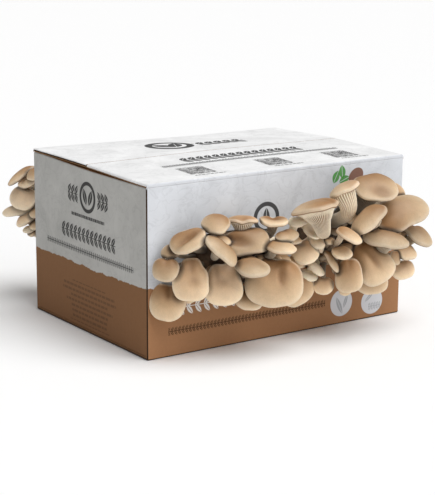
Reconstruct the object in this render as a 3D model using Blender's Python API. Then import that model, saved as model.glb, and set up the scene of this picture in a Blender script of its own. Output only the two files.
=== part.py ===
"""Oyster mushroom grow kit: a printed carton with a block of grown-through
substrate inside, and three clusters of oyster mushrooms that push out through
openings in its long sides.

Metres, +Z up. The origin is the middle of the carton's underside, the front
long side faces -Y, and the two long top flaps fold open on their creases.
"""
import bpy
import bmesh
import numpy as np
from math import asin, cos, floor, pi, sin
from mathutils import Matrix, Vector
from mathutils.bvhtree import BVHTree

MM = 0.001

# Carton, in millimetres
CARTON_LENGTH = 350.0
CARTON_DEPTH = 250.0
CARTON_HEIGHT = 190.0
BOARD = 3.5
PLAY = 0.3
CREASE_RADIUS = 1.6
FLAP_REACH = CARTON_DEPTH / 2
SEAM = 0.5

# Openings in the long sides, each with its middle and its side: -1 front, 1 back
OPENING_WIDTH = 92.0
OPENING_HEIGHT = 62.0
OPENING_ROUNDING = 18.0
CLUSTERS = {
    "front_left": {"x": -78.0, "z": 98.0, "side": -1},
    "front_right": {"x": 66.0, "z": 104.0, "side": -1},
    "rear": {"x": -112.0, "z": 104.0, "side": 1},
}

# Substrate block and the grown bases of the clusters
BLOCK_CLEARANCE = 1.2
BLOCK_HEADSPACE = 12.0
BLOCK_ROUNDING = 12.0
BASE_PLAY = 1.0
BASE_BULGE = 26.0
ROOT_DEPTH = 0.7
HEART_DEPTH = 6.0
SEAT_DROP = 0.6
BASE_PROFILE = ((0.94, 0.0), (1.0, 0.05), (1.0, 0.22), (0.92, 0.5), (0.7, 0.8), (0.38, 0.95))
BASE_STEPS = 20
BASE_SQUARE = 2.6
BASE_LUMPS = 5
BASE_LUMP = 0.06

# Mushrooms
TOUCH_GAP = 0.6
MERGE_STEPS = (0.35, 0.2, 0.1, 0.02)
SWELL_LIMIT = 4.0
SWELL_ROUNDS = 12
LEAST_LEFT = 0.15
LARGE_CAP = 80
ROUND_STEPS = (8, 10)
TOP_STEPS = (0.6,)
UNDER_STEPS = (0.55,)
STEM_STEPS = (0.12, 0.62)
MARGIN_START = 0.85
MARGIN_TURNS = (0.6, -0.8)

# The cap's form: widths of its hollows and folds as shares of its size, and
# angles from its back, in radians, where it is notched and pinched
DISH_WIDTH = 0.3
TROUGH_WIDTH = 0.26
RIDGE_WIDTH = 0.34
BACK_START = 0.35
NOTCH_WIDTH = 0.45
PINCH_AT = 0.8
PINCH_WIDTH = 0.3
UNDER_INSET = 0.97
SEAT_SPREAD = 1.15
WAIST = 0.25

# What a cap is like where its own row says nothing else. Lengths are shares of
# the cap's half width, half length or mean radius.
PLAIN = {
    "square": 2.3, "taper": 0.0, "notch": 0.12, "wave": 0.0, "waves": 3, "wave_turn": 0.0,
    "droop": 0.16, "droop_front": 0.16, "dish": 0.08, "dish_at": -0.1, "trough": 0.10,
    "ridge": 0.0, "roll": 0.18, "thick": 0.20, "edge": 5.0, "stalk": 0.16, "seat": 0.45,
    "bend": 0.5, "lean": 0.0, "foot": 0.9, "pinch": 0.0,
}

# Colour in linear values, and roughness
PRINTED_BOARD = ((0.60, 0.62, 0.65), 0.7)
WHITE_BOARD = ((0.76, 0.77, 0.78), 0.7)
SUBSTRATE = ((0.42, 0.33, 0.22), 0.95)
CAP_FLESH = ((0.60, 0.40, 0.24), 0.55)
BASE_FLESH = ((0.70, 0.58, 0.42), 0.7)


def row(at, facing, spin, size, **shape):
    """One mushroom: the cap's middle, where its top faces (azimuth from -Y
    towards +X, elevation), the turn of its front edge, its width and length."""
    return {"at": at, "azimuth": facing[0], "elevation": facing[1], "spin": spin,
            "width": size[0], "length": size[1], **{**PLAIN, **shape}}


MUSHROOMS = {
    "front_left": [
        row((-88, -193, 111), (-18, 74), 20, (35, 38), trough=0.0, dish=0.0, roll=0.19, thick=0.26),
        row((-59, -192, 87), (-29, 23), -8, (63, 53), square=2.9, wave=0.05, wave_turn=0.6, dish=0.0,
            trough=0.0, notch=0.05, taper=0.1),
        row((-81, -172, 132), (-25, 47), 11, (52, 34), square=2.5, trough=0.0, notch=0.1, dish=0.0,
            seat=0.3),
        row((-115, -184, 129), (29, 44), -63, (43, 27), square=2.5, dish=0.0, droop=0.24, seat=0.3,
            notch=0.0, stalk=0.12),
        row((-110, -173, 86), (-28, 16), 3, (40, 46), taper=0.12, trough=0.0, square=2.6, dish=0.0),
        row((-146, -163, 94), (-36, 13), 0, (37, 49), taper=0.18, dish=0.0, trough=0.1, square=2.5,
            pinch=0.16),
        row((-169, -150, 106), (-42, 28), -6, (28, 27), dish=0.0),
        row((-162, -142, 68), (-40, 21), -5, (40, 40), trough=0.1, dish=0.0, square=2.5, wave=0.03,
            wave_turn=2.0),
        row((-49, -188, 126), (-18, 80), 40, (29, 35), trough=0.0, dish=0.0, edge=4.0),
        row((-147, -157, 136), (-60, 45), 33, (40, 31), dish=0.0, trough=0.0, droop=0.02, droop_front=0.02),
        row((-116, -165, 154), (-35, 56), -31, (29, 29), dish=0.0, droop=0.24, droop_front=0.24,
            trough=0.0, notch=0.0),
        row((-44, -169, 147), (-25, 69), -8, (32, 21), dish=0.0, droop=-0.15, droop_front=-0.1),
        row((-36, -184, 134), (-5, 62), 17, (32, 18), dish=0.05),
        row((7, -172, 130), (-24, 44), -50, (25, 19), dish=0.36, thick=0.55, droop=-0.2, droop_front=-0.2),
        row((-6, -164, 143), (-10, 66), 15, (27, 16), dish=0.1),
        row((-73, -152, 151), (145, 79), 0, (35, 26), dish=0.0, edge=4.0, stalk=0.2, seat=0.1,
            notch=0.04, thick=0.6),
        row((-6, -168, 61), (-15, 14), 25, (42, 29), dish=0.0),
        row((-73, -166, 64), (-32, 40), -2, (31, 24), dish=0.0),
        row((-133, -140, 71), (-30, 10), 0, (22, 22), dish=0.0),
        row((-158, -142, 122), (-50, 40), -61, (18, 22), dish=0.0, edge=4.0),
    ],
    "front_right": [
        row((60, -196, 146), (-84, 56), 0, (31, 51), dish=0.0, square=2.4, trough=0.0, droop=0.2),
        row((31, -194, 109), (-14, 62), 5, (23, 21), dish=0.0, trough=0.0),
        row((74, -194, 91), (-26, 30), 33, (44, 54), trough=0.0, notch=0.1, taper=0.2, dish=0.0),
        row((40, -196, 79), (-32, 11), 2, (30, 40), taper=0.15, square=2.5, dish=0.0),
        row((91, -197, 120), (-4, 72), -27, (52, 34), trough=0.0, dish=0.0, seat=0.1, notch=0.05,
            droop=0.2),
        row((122, -186, 145), (-19, 50), 112, (43, 77), square=2.4, wave=0.03, droop_front=0.25, dish=0.0,
            trough=0.05),
        row((92, -176, 174), (-16, 60), 4, (51, 46), dish=0.0, trough=0.0, droop=0.08, droop_front=0.08,
            thick=0.62, stalk=0.24, bend=0.35),
        row((42, -176, 177), (-122, 64), -4, (28, 36), dish=0.0, stalk=0.4, seat=-0.15, notch=0.0,
            trough=0.0, foot=0.7),
        row((0, -180, 164), (-150, 74), 0, (52, 50), dish=0.0, droop=0.1, droop_front=0.1, thick=0.72,
            stalk=0.17, seat=0.1, notch=0.0, bend=0.25),
        row((33, -204, 131), (20, 66), -1, (22, 33), dish=0.0, edge=4.0, droop=0.2, trough=0.0),
        row((160, -177, 111), (20, 58), -22, (34, 37), dish=0.0, trough=0.1, seat=0.25),
        row((136, -180, 94), (-8, 55), 2, (27, 25), dish=0.0),
        row((137, -176, 69), (-16, 24), 6, (30, 23), dish=0.0),
        row((120, -182, 86), (0, 20), -12, (15, 18), dish=0.0, edge=4.0),
        row((87, -180, 63), (-25, 16), 1, (38, 32), dish=0.0),
        row((31, -180, 96), (42, 38), -21, (16, 31), dish=0.0, edge=4.0, trough=0.0),
        row((-4, -173, 110), (-30, 48), 26, (31, 31), dish=0.0, trough=0.04),
        row((12, -172, 117), (-40, 66), -87, (18, 22), dish=0.0, edge=4.0),
        row((18, -168, 87), (26, 54), 0, (16, 24), dish=0.0, edge=4.0, trough=0.0),
        row((10, -160, 79), (-30, 62), -91, (20, 26), dish=0.0, edge=3.6),
        row((20, -176, 66), (-35, 16), -1, (23, 20), dish=0.0),
        row((138, -158, 160), (10, 50), 78, (24, 28), dish=0.0, edge=4.0),
    ],
    "rear": [
        row((-161, 192, 155), (-110, 55), 7, (16, 42), dish=0.0, droop=0.2, seat=0.3, edge=4.0),
        row((-163, 190, 128), (-78, 40), -10, (50, 31), dish=0.0, droop=0.22, droop_front=0.22,
            trough=0.0),
        row((-161, 200, 111), (-90, 72), -60, (22, 46), dish=0.0, droop=0.2, trough=0.0, edge=4.4),
        row((-162, 180, 102), (-88, 52), 50, (29, 21), dish=0.0, droop=0.2, edge=4.4),
        row((-157, 176, 89), (-75, 70), 30, (18, 15), dish=0.0, edge=4.0),
        row((-155, 190, 146), (-95, 48), 11, (37, 20), dish=0.05),
        row((-118, 172, 153), (180, 50), 0, (50, 42), trough=0.2),
        row((-108, 194, 120), (185, 28), 0, (56, 52), square=2.6, ridge=0.2, dish=0.0),
        row((-116, 174, 84), (188, 12), 0, (48, 44), trough=0.24),
        row((-74, 172, 139), (155, 44), -10, (44, 42), dish=0.14),
        row((-70, 176, 102), (160, 20), -10, (48, 48), trough=0.2, dish=0.14),
    ],
}


# Numbers and vectors

def unit(vector):
    """The vector at length one."""
    return vector / np.linalg.norm(vector)


def ease(start, end, value):
    """A soft step from 0 at start to 1 at end."""
    share = np.clip((value - start) / (end - start), 0.0, 1.0)
    return share * share * (3.0 - 2.0 * share)


# The form of one mushroom, in millimetres

def cap_axes(form):
    """Across, front and outward directions of a cap."""
    azimuth, elevation, spin = np.radians([form["azimuth"], form["elevation"], form["spin"]])
    outward = np.array([np.sin(azimuth) * np.cos(elevation),
                        -np.cos(azimuth) * np.cos(elevation), np.sin(elevation)])
    level = unit(np.cross([0.0, 0.0, 1.0], outward))
    downhill = np.cross(level, outward)
    front = np.cos(spin) * downhill + np.sin(spin) * level
    return np.cross(front, outward), front, outward


def cap_outline(form, angles):
    """The cap's edge: a squarish oval, narrower at the stem, notched over it."""
    half_width, half_length = form["width"] / 2, form["length"] / 2
    power = form["square"]
    reach = (np.abs(np.cos(angles) / half_length) ** power
             + np.abs(np.sin(angles) / half_width) ** power) ** (-1.0 / power)
    from_back = pi - np.abs((angles + pi) % (2 * pi) - pi)
    reach = reach * (1 - form["notch"] * np.exp(-(from_back / NOTCH_WIDTH) ** 2))
    reach = reach * (1 - form["pinch"] * np.exp(-((from_back - PINCH_AT) / PINCH_WIDTH) ** 2))
    reach = reach * (1 + form["wave"] * np.sin(form["waves"] * angles + form["wave_turn"]))
    front = reach * np.cos(angles)
    across = reach * np.sin(angles) * (1 + form["taper"] * front / half_length)
    return across + form["lean"] * (front / half_length) ** 2 * half_width, front


def cap_height(form, across, front, share):
    """How far the cap's top stands out over its middle plane."""
    half_width, half_length = form["width"] / 2, form["length"] / 2
    radius = (half_width + half_length) / 2
    dish_front = form["dish_at"] * half_length
    height = -form["droop"] * radius * (across / half_width) ** 2
    height = height - form["droop_front"] * radius * (front / half_length) ** 2
    spread = 2 * (DISH_WIDTH * radius) ** 2
    height = height - form["dish"] * radius * np.exp(-(across ** 2 + (front - dish_front) ** 2) / spread)
    back = ease(BACK_START * half_length, -half_length, front)
    trough = np.exp(-(across / (TROUGH_WIDTH * half_width)) ** 2)
    ridge = np.exp(-(across / (RIDGE_WIDTH * half_width)) ** 2)
    height = height + (form["ridge"] * ridge - form["trough"] * trough) * radius * back
    return height - form["roll"] * radius * share ** 4


def stem_curve(form, start, outward, root, root_out):
    """Points and directions along the stem, from under the cap to its root."""
    length = np.linalg.norm(root - start)
    knots = (start, start - outward * length * form["bend"], root + root_out * length * 0.35, root)

    def point(t):
        s = 1 - t
        return s ** 3 * knots[0] + 3 * s * s * t * knots[1] + 3 * s * t * t * knots[2] + t ** 3 * knots[3]

    def heading(t):
        s = 1 - t
        return unit(s * s * (knots[1] - knots[0]) + 2 * s * t * (knots[2] - knots[1])
                    + t * t * (knots[3] - knots[2]))

    return point, heading


def carried(vectors, before, after):
    """The vectors turned as the direction before turns into after."""
    axis = np.cross(before, after)
    size = np.linalg.norm(axis)
    if size < 1e-6:
        return vectors
    axis = axis / size
    angle = np.arctan2(size, before @ after)
    return [v * cos(angle) + np.cross(axis, v) * sin(angle) + axis * (axis @ v) * (1 - cos(angle))
            for v in vectors]


def round_steps(form):
    """How many sides a mushroom's rings have: more on a larger cap."""
    return ROUND_STEPS[form["width"] + form["length"] > LARGE_CAP]


def mushroom_rings(form, middle, root, root_out):
    """The pole of the cap's top, the rings down to the foot, and the foot's pole."""
    across_axis, front_axis, outward = cap_axes(form)
    half_width, half_length = form["width"] / 2, form["length"] / 2
    radius = (half_width + half_length) / 2
    angles = np.linspace(0, 2 * pi, round_steps(form), endpoint=False)
    edge_across, edge_front = cap_outline(form, angles)
    edge = form["edge"] / 2
    inset = 1 - edge * (1 - cos(MARGIN_START)) / radius
    dish_front = form["dish_at"] * half_length

    def placed(across, front, height):
        return (middle + np.multiply.outer(across, across_axis) + np.multiply.outer(front, front_axis)
                + np.multiply.outer(height, outward))

    zero = np.zeros(1)
    pole = placed(zero, zero + dish_front, cap_height(form, zero, zero + dish_front, zero))[0]
    rings = []
    for share in TOP_STEPS:
        across = edge_across * share * inset
        front = dish_front + (edge_front * inset - dish_front) * share
        rings.append(placed(across, front, cap_height(form, across, front, share)))

    margin = cap_height(form, edge_across * inset, edge_front * inset, 1.0)
    reach = np.hypot(edge_across, edge_front)
    for turn in MARGIN_TURNS:
        scale = inset + edge * (cos(turn) - cos(MARGIN_START)) / reach
        rings.append(placed(edge_across * scale, edge_front * scale,
                            margin + edge * (sin(turn) - sin(MARGIN_START))))

    stalk = form["stalk"] * form["width"]
    seat = -form["seat"] * half_length
    seat_height = min(cap_height(form, zero, zero + seat, zero)[0],
                      cap_height(form, zero, zero + dish_front, zero)[0])
    depth = form["thick"] * radius
    for share in UNDER_STEPS:
        left = 1 - share
        across = edge_across * inset * UNDER_INSET * left + SEAT_SPREAD * stalk * np.sin(angles) * share
        front = (edge_front * inset * UNDER_INSET * left
                 + (seat + SEAT_SPREAD * stalk * np.cos(angles)) * share)
        under = cap_height(form, across, front, left) - form["edge"] * 0.6 * left - depth * share
        join = share ** 3
        rings.append(placed(across, front, under * (1 - join)
                            + (seat_height - depth - 0.6 * stalk) * join))

    start = middle + front_axis * seat + outward * (seat_height - depth - stalk)
    point, heading = stem_curve(form, start, outward, root, root_out)
    sides = [across_axis, front_axis]
    before = -outward
    for t in STEM_STEPS + (1.0,):
        sides = carried(sides, before, heading(t))
        before = heading(t)
        thick = stalk * (1 - WAIST * sin(pi * min(1.0, 1.1 * t))) * form["foot"] ** t
        rings.append(point(t) + thick * (np.multiply.outer(np.sin(angles), sides[0])
                                         + np.multiply.outer(np.cos(angles), sides[1])))
    return pole, rings, root


# Meshes, materials and objects

def material(name, finish):
    """A Principled material of one colour, in linear values, and one roughness."""
    colour, roughness = finish
    made = bpy.data.materials.new(name)
    made.use_nodes = True
    shader = made.node_tree.nodes["Principled BSDF"]
    shader.inputs["Base Color"].default_value = (*colour, 1.0)
    shader.inputs["Roughness"].default_value = roughness
    shader.inputs["Metallic"].default_value = 0.0
    return made


def add_object(name, bm, collection, finish=None):
    """A new object from a bmesh, which is used up."""
    mesh = bpy.data.meshes.new(name)
    bm.to_mesh(mesh)
    bm.free()
    made = bpy.data.objects.new(name, mesh)
    collection.objects.link(made)
    if finish:
        mesh.materials.append(finish)
    return made


def box_mesh(low, high):
    """A box between two corners given in millimetres."""
    low, high = Vector(low) * MM, Vector(high) * MM
    bm = bmesh.new()
    bmesh.ops.create_cube(bm, size=1.0)
    bmesh.ops.scale(bm, vec=high - low, verts=bm.verts)
    bmesh.ops.translate(bm, vec=(low + high) / 2, verts=bm.verts)
    return bm


def round_edges(bm, radius, chosen, segments=3):
    """Round the chosen edges of a box."""
    edges = [edge for edge in bm.edges if chosen(edge)]
    bmesh.ops.bevel(bm, geom=edges, offset=radius * MM, segments=segments, profile=0.5,
                     affect="EDGES")


def runs_along(axis):
    """A test for edges that run along X (0), Y (1) or Z (2)."""
    def test(edge):
        run = edge.verts[1].co - edge.verts[0].co
        return abs(run[axis]) > 0.99 * run.length
    return test


def add_cutter(name, bm, cutters):
    """A hidden object that other objects are cut by."""
    made = add_object(name, bm, cutters)
    made.hide_render = True
    made.display_type = "WIRE"
    return made


def cut_by(piece, cutter):
    """A live Boolean difference."""
    cut = piece.modifiers.new(cutter.name, "BOOLEAN")
    cut.operation = "DIFFERENCE"
    cut.object = cutter


# The carton and its flaps

def window_cutter(name, cluster, cutters):
    """The rounded opening in a long side that a cluster grows through."""
    face = cluster["side"] * CARTON_DEPTH / 2
    bm = box_mesh((cluster["x"] - OPENING_WIDTH / 2, face - 3 * BOARD, cluster["z"] - OPENING_HEIGHT / 2),
                  (cluster["x"] + OPENING_WIDTH / 2, face + 3 * BOARD, cluster["z"] + OPENING_HEIGHT / 2))
    round_edges(bm, OPENING_ROUNDING, runs_along(1), segments=5)
    return add_cutter(name, bm, cutters)


def add_carton(parts, cutters, finish):
    """Walls, floor and the two short top flaps, folded from one board."""
    half_x, half_y = CARTON_LENGTH / 2, CARTON_DEPTH / 2
    rim = CARTON_HEIGHT - BOARD - PLAY
    bm = box_mesh((-half_x, -half_y, 0), (half_x, half_y, rim))
    round_edges(bm, CREASE_RADIUS, runs_along(2), segments=2)
    carton = add_object("carton", bm, parts, finish)
    inside_x, inside_y = half_x - BOARD, half_y - BOARD
    mouth = half_x - FLAP_REACH
    room = box_mesh((-inside_x, -inside_y, 2 * BOARD), (inside_x, inside_y, rim - BOARD))
    cut_by(carton, add_cutter("cutter_room", room, cutters))
    well = box_mesh((-mouth, -inside_y, BOARD), (mouth, inside_y, 3 * BOARD))
    cut_by(carton, add_cutter("cutter_floor_well", well, cutters))
    top = box_mesh((-mouth, -inside_y, rim - 2 * BOARD), (mouth, inside_y, rim + BOARD))
    cut_by(carton, add_cutter("cutter_mouth", top, cutters))
    for name, cluster in CLUSTERS.items():
        cut_by(carton, window_cutter("cutter_window_" + name, cluster, cutters))
    return carton


def add_flap(name, side, parts, finish):
    """A long top flap whose origin is on its crease."""
    bm = box_mesh((-CARTON_LENGTH / 2, 0, PLAY / 2), (CARTON_LENGTH / 2, FLAP_REACH - SEAM, BOARD + PLAY / 2))
    if side > 0:
        bmesh.ops.rotate(bm, matrix=Matrix.Rotation(pi, 3, "Z"), verts=bm.verts)
    crease = [edge for edge in bm.edges if runs_along(0)(edge)
              and abs(edge.verts[0].co.y) < 1e-6 and edge.verts[0].co.z > BOARD * MM]
    bmesh.ops.bevel(bm, geom=crease, offset=CREASE_RADIUS * MM, segments=3, profile=0.5,
                     affect="EDGES")
    flap = add_object(name, bm, parts, finish)
    flap.location = Vector((0, side * CARTON_DEPTH / 2, CARTON_HEIGHT - BOARD - PLAY / 2)) * MM
    return flap


# The block and the grown bases

def face_out(bm):
    """Turn a closed surface that is inside out."""
    if bm.calc_volume(signed=True) < 0:
        bmesh.ops.reverse_faces(bm, faces=bm.faces)
    bm.normal_update()


def add_block(parts, finish):
    """The pressed substrate block, its edges soft."""
    half_x = CARTON_LENGTH / 2 - BOARD - BLOCK_CLEARANCE
    half_y = CARTON_DEPTH / 2 - BOARD - BLOCK_CLEARANCE
    top = CARTON_HEIGHT - 2 * BOARD - PLAY - BLOCK_HEADSPACE
    bm = box_mesh((-half_x, -half_y, 2 * BOARD + PLAY), (half_x, half_y, top))
    round_edges(bm, BLOCK_ROUNDING, lambda edge: True)
    return add_object("substrate_block", bm, parts, finish)


def base_mesh(cluster, swell=0.0):
    """The fused foot of a cluster: a lumpy mound that fills its opening."""
    start = CARTON_DEPTH / 2 - BOARD - BLOCK_CLEARANCE + PLAY
    bulge = BASE_BULGE + CARTON_DEPTH / 2 - start
    half_x = OPENING_WIDTH / 2 - BASE_PLAY + swell
    half_z = OPENING_HEIGHT / 2 - BASE_PLAY + swell
    bm = bmesh.new()
    bmesh.ops.create_uvsphere(bm, u_segments=BASE_STEPS, v_segments=len(BASE_PROFILE) + 1, radius=1.0)
    for vert in bm.verts:
        ring = round((pi / 2 + asin(max(-1.0, min(1.0, vert.co.z)))) / pi * (len(BASE_PROFILE) + 1))
        reach, out = (0.0, 0.0) if ring == 0 else (0.0, 1.0)
        if 0 < ring <= len(BASE_PROFILE):
            reach, out = BASE_PROFILE[ring - 1]
        angle = np.arctan2(vert.co.y, vert.co.x)
        lump = 1 + BASE_LUMP * sin(BASE_LUMPS * angle + cluster["x"]) * ease(0.3, 0.6, out)
        square = (abs(cos(angle)) ** BASE_SQUARE + abs(sin(angle)) ** BASE_SQUARE) ** (-1 / BASE_SQUARE)
        out_mm = out * bulge + (swell if out > 0.1 else -swell)
        vert.co = Vector((cluster["x"] + half_x * reach * lump * square * cos(angle),
                          cluster["side"] * (start + out_mm),
                          cluster["z"] + half_z * reach * lump * square * sin(angle))) * MM
    face_out(bm)
    return bm


# The mushrooms

def root_of(form, cluster):
    """Where a stem meets its base, on the line from the cap to the opening."""
    heart = np.array([cluster["x"], cluster["side"] * (CARTON_DEPTH / 2 - HEART_DEPTH), cluster["z"]])
    middle = np.array(form["at"], float)
    _, front_axis, outward = cap_axes(form)
    radius = (form["width"] + form["length"]) / 4
    seat = middle - front_axis * form["seat"] * form["length"] / 2 - outward * radius * SEAT_DROP
    way = unit(seat - heart)
    reach = np.array([OPENING_WIDTH / 2, BASE_BULGE + HEART_DEPTH, OPENING_HEIGHT / 2]) * ROOT_DEPTH
    return heart + way / np.linalg.norm(way / reach), way


def mushroom_mesh(form, cluster):
    """A ball whose rings are laid over the cap, under it and down the stem."""
    root, way = root_of(form, cluster)
    pole, rings, foot = mushroom_rings(form, np.array(form["at"], float), root, way)
    steps = round_steps(form)
    bm = bmesh.new()
    bmesh.ops.create_uvsphere(bm, u_segments=steps, v_segments=len(rings) + 1, radius=1.0)
    for vert in bm.verts:
        ring = round((pi / 2 - asin(max(-1.0, min(1.0, vert.co.z)))) / pi * (len(rings) + 1))
        step = floor(np.arctan2(vert.co.y, vert.co.x) / (2 * pi) * steps + 0.25) % steps
        if ring == 0:
            place = pole
        elif ring > len(rings):
            place = foot
        else:
            place = rings[ring - 1][step]
        vert.co = Vector(place) * MM
    bmesh.ops.triangulate(bm, faces=bm.faces)
    face_out(bm)
    return bm


def outward_move(vert, gap):
    """The shift that lifts a vertex clear of all its faces by the gap, in metres."""
    move = Vector()
    for _ in range(SWELL_ROUNDS):
        for face in vert.link_faces:
            move += face.normal * max(0.0, gap - face.normal.dot(move))
    return move * min(1.0, SWELL_LIMIT * gap / move.length)


def swell(bm, gap):
    """Move a closed surface outwards."""
    bm.normal_update()
    moves = [outward_move(vert, gap * MM) for vert in bm.verts]
    for vert, move in zip(bm.verts, moves):
        vert.co += move


def bodies_of(bm):
    """The separate bodies of a mesh as sets of vertices."""
    bodies = []
    left = set(bm.verts)
    while left:
        body, front = set(), [left.pop()]
        while front:
            vert = front.pop()
            body.add(vert)
            for edge in vert.link_edges:
                other = edge.other_vert(vert)
                if other in left:
                    left.discard(other)
                    front.append(other)
        bodies.append(body)
    return bodies


def volume_of(body):
    """The volume inside one closed body of triangles."""
    faces = {face for vert in body for face in vert.link_faces}
    return sum(face.verts[0].co.dot(face.verts[1].co.cross(face.verts[2].co)) for face in faces) / 6


def tidied(mesh, merge):
    """The largest body of a mesh with its short edges merged, or None if that opens it."""
    bm = bmesh.new()
    bm.from_mesh(mesh)
    bmesh.ops.triangulate(bm, faces=bm.faces)
    bmesh.ops.remove_doubles(bm, verts=bm.verts, dist=merge * MM)
    bmesh.ops.dissolve_degenerate(bm, edges=bm.edges, dist=0.01 * MM)
    bmesh.ops.triangulate(bm, faces=bm.faces)
    bodies = sorted(bodies_of(bm), key=volume_of)
    for body in bodies[:-1]:
        bmesh.ops.delete(bm, geom=list(body), context="VERTS")
    closed = bool(bm.faces) and all(edge.is_manifold and edge.is_contiguous for edge in bm.edges)
    if closed and all(vert.is_manifold for vert in bm.verts):
        return bm
    bm.free()
    return None


def tree_of(mesh):
    """A search tree over a mesh's faces."""
    bm = bmesh.new()
    bm.from_mesh(mesh)
    tree = BVHTree.FromBMesh(bm)
    bm.free()
    return tree


def cut_shape(piece, neighbours, whole_volume):
    """The piece after its cuts: one closed body, clear of its neighbours."""
    for solver in ("EXACT", "MANIFOLD"):
        for cut in piece.modifiers:
            cut.solver = solver
        bpy.context.view_layer.update()
        evaluated = piece.evaluated_get(bpy.context.evaluated_depsgraph_get())
        mesh = bpy.data.meshes.new_from_object(evaluated)
        for merge in MERGE_STEPS:
            bm = tidied(mesh, merge)
            if not bm or bm.calc_volume() < LEAST_LEFT * whole_volume:
                continue
            tree = BVHTree.FromBMesh(bm)
            if not any(tree.overlap(neighbour) for neighbour in neighbours):
                return bm
    raise ValueError(piece.name + " has no closed shape left")


def carton_block(swell_by):
    """The carton's outer form, taller than the carton, as a plain box."""
    half_x, half_y = CARTON_LENGTH / 2 + swell_by, CARTON_DEPTH / 2 + swell_by
    return box_mesh((-half_x, -half_y, -CARTON_HEIGHT), (half_x, half_y, 2 * CARTON_HEIGHT))


def add_walls(cutters):
    """The cutter that keeps every mushroom clear of the carton."""
    cutter = add_cutter("cutter_walls", carton_block(TOUCH_GAP), cutters)
    outer = carton_block(0.0)
    outer_tree = BVHTree.FromBMesh(outer)
    outer.free()
    return cutter, tree_of(cutter.data), outer_tree


def add_base(name, parts, cutters):
    """A cluster's base, with the cutter that keeps its mushrooms clear of it."""
    flesh = material(name + "_base_flesh", BASE_FLESH)
    base = add_object(name + "_base", base_mesh(CLUSTERS[name]), parts, flesh)
    cutter = add_cutter("cutter_" + name + "_base", base_mesh(CLUSTERS[name], TOUCH_GAP), cutters)
    return cutter, tree_of(cutter.data), tree_of(base.data)


def add_mushrooms(name, parts, cutters, before):
    """A cluster's mushrooms, each cut clear of everything before it."""
    cluster = CLUSTERS[name]
    for number, form in enumerate(MUSHROOMS[name], start=1):
        label = f"{name}_mushroom_{number:02d}"
        flesh = material(label + "_flesh", CAP_FLESH)
        piece = add_object(label, mushroom_mesh(form, cluster), parts, flesh)
        swollen = mushroom_mesh(form, cluster)
        whole_volume = swollen.calc_volume()
        swell(swollen, TOUCH_GAP)
        whole = tree_of(piece.data)
        neighbours = []
        for cutter, cutter_tree, solid_tree in before:
            if whole.overlap(cutter_tree):
                cut_by(piece, cutter)
                neighbours.append(solid_tree)
        shaped = cut_shape(piece, neighbours, whole_volume)
        piece.modifiers.clear()
        shaped.to_mesh(piece.data)
        shaped.free()
        piece.data.shade_smooth()
        cutter = add_cutter("cutter_" + label, swollen, cutters)
        before.append((cutter, tree_of(cutter.data), tree_of(piece.data)))


def main():
    for old in list(bpy.data.objects):
        bpy.data.objects.remove(old)
    parts = bpy.data.collections.new("oyster_mushroom_grow_kit")
    cutters = bpy.data.collections.new("cutters")
    for collection in (parts, cutters):
        bpy.context.scene.collection.children.link(collection)

    add_carton(parts, cutters, material("carton_board", PRINTED_BOARD))
    add_flap("flap_front", -1, parts, material("flap_front_board", WHITE_BOARD))
    add_flap("flap_back", 1, parts, material("flap_back_board", WHITE_BOARD))
    add_block(parts, material("substrate", SUBSTRATE))

    before = [add_walls(cutters)]
    before += [add_base(name, parts, cutters) for name in CLUSTERS]
    for name in CLUSTERS:
        add_mushrooms(name, parts, cutters, before)


main()
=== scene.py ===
"""Oyster mushroom grow kit, dressed: a printed carton, its substrate block and
three clusters of oyster mushrooms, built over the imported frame.

Metres, +Z up, the front long side facing -Y. The tables of mushrooms and of
printed marks are in millimetres and degrees.
"""
from functools import partial
from math import atan2, cos, degrees, pi, radians, sin, sqrt, tau

import bmesh
import bpy
import numpy as np
from bpy.props import FloatProperty, FloatVectorProperty, IntProperty, PointerProperty
from mathutils import Matrix, Vector
from mathutils.kdtree import KDTree


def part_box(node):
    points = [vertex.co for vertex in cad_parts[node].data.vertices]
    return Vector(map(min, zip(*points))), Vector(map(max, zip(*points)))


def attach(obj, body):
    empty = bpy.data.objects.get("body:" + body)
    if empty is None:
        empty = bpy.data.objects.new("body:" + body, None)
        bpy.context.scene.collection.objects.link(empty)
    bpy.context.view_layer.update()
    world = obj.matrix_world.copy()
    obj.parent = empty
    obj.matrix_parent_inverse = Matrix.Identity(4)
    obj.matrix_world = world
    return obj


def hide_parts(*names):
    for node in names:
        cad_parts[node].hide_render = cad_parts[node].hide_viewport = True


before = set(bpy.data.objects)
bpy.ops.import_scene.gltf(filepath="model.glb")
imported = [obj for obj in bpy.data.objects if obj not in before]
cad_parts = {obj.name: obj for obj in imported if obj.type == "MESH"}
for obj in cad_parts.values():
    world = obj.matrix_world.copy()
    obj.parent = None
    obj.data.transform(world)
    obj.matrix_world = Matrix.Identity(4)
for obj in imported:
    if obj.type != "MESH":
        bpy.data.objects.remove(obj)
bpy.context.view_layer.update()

bl_info = {
    "name": "Oyster mushroom grow kit",
    "version": (1, 0, 0),
    "blender": (4, 5, 0),
    "location": "3D View > Sidebar > Grow kit",
    "description": "Builds a printed grow kit carton with clusters of oyster mushrooms",
    "category": "Add Mesh",
}

MM = 0.001
KIT = "kit"

# What the frame gives, in millimetres: the carton, a long flap and the block
HALF_X, HALF_Y, RIM = (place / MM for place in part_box("carton")[1])
FLAP_LOW, FLAP_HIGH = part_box("flap_front")
FLAP_UNDER = FLAP_LOW.z / MM
FLAP_TOP = FLAP_HIGH.z / MM
FLAP_EDGE = -FLAP_HIGH.y / MM
BLOCK_LOW, BLOCK_HIGH = (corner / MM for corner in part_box("substrate_block"))

# How high the rim stands at one corner, where that rise starts along X and Y, and
# how far below the rim
CORNER_RISE = 3.6
RISE_START = (80.0, -30.0)
RISE_HEIGHT = 60.0

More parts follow.
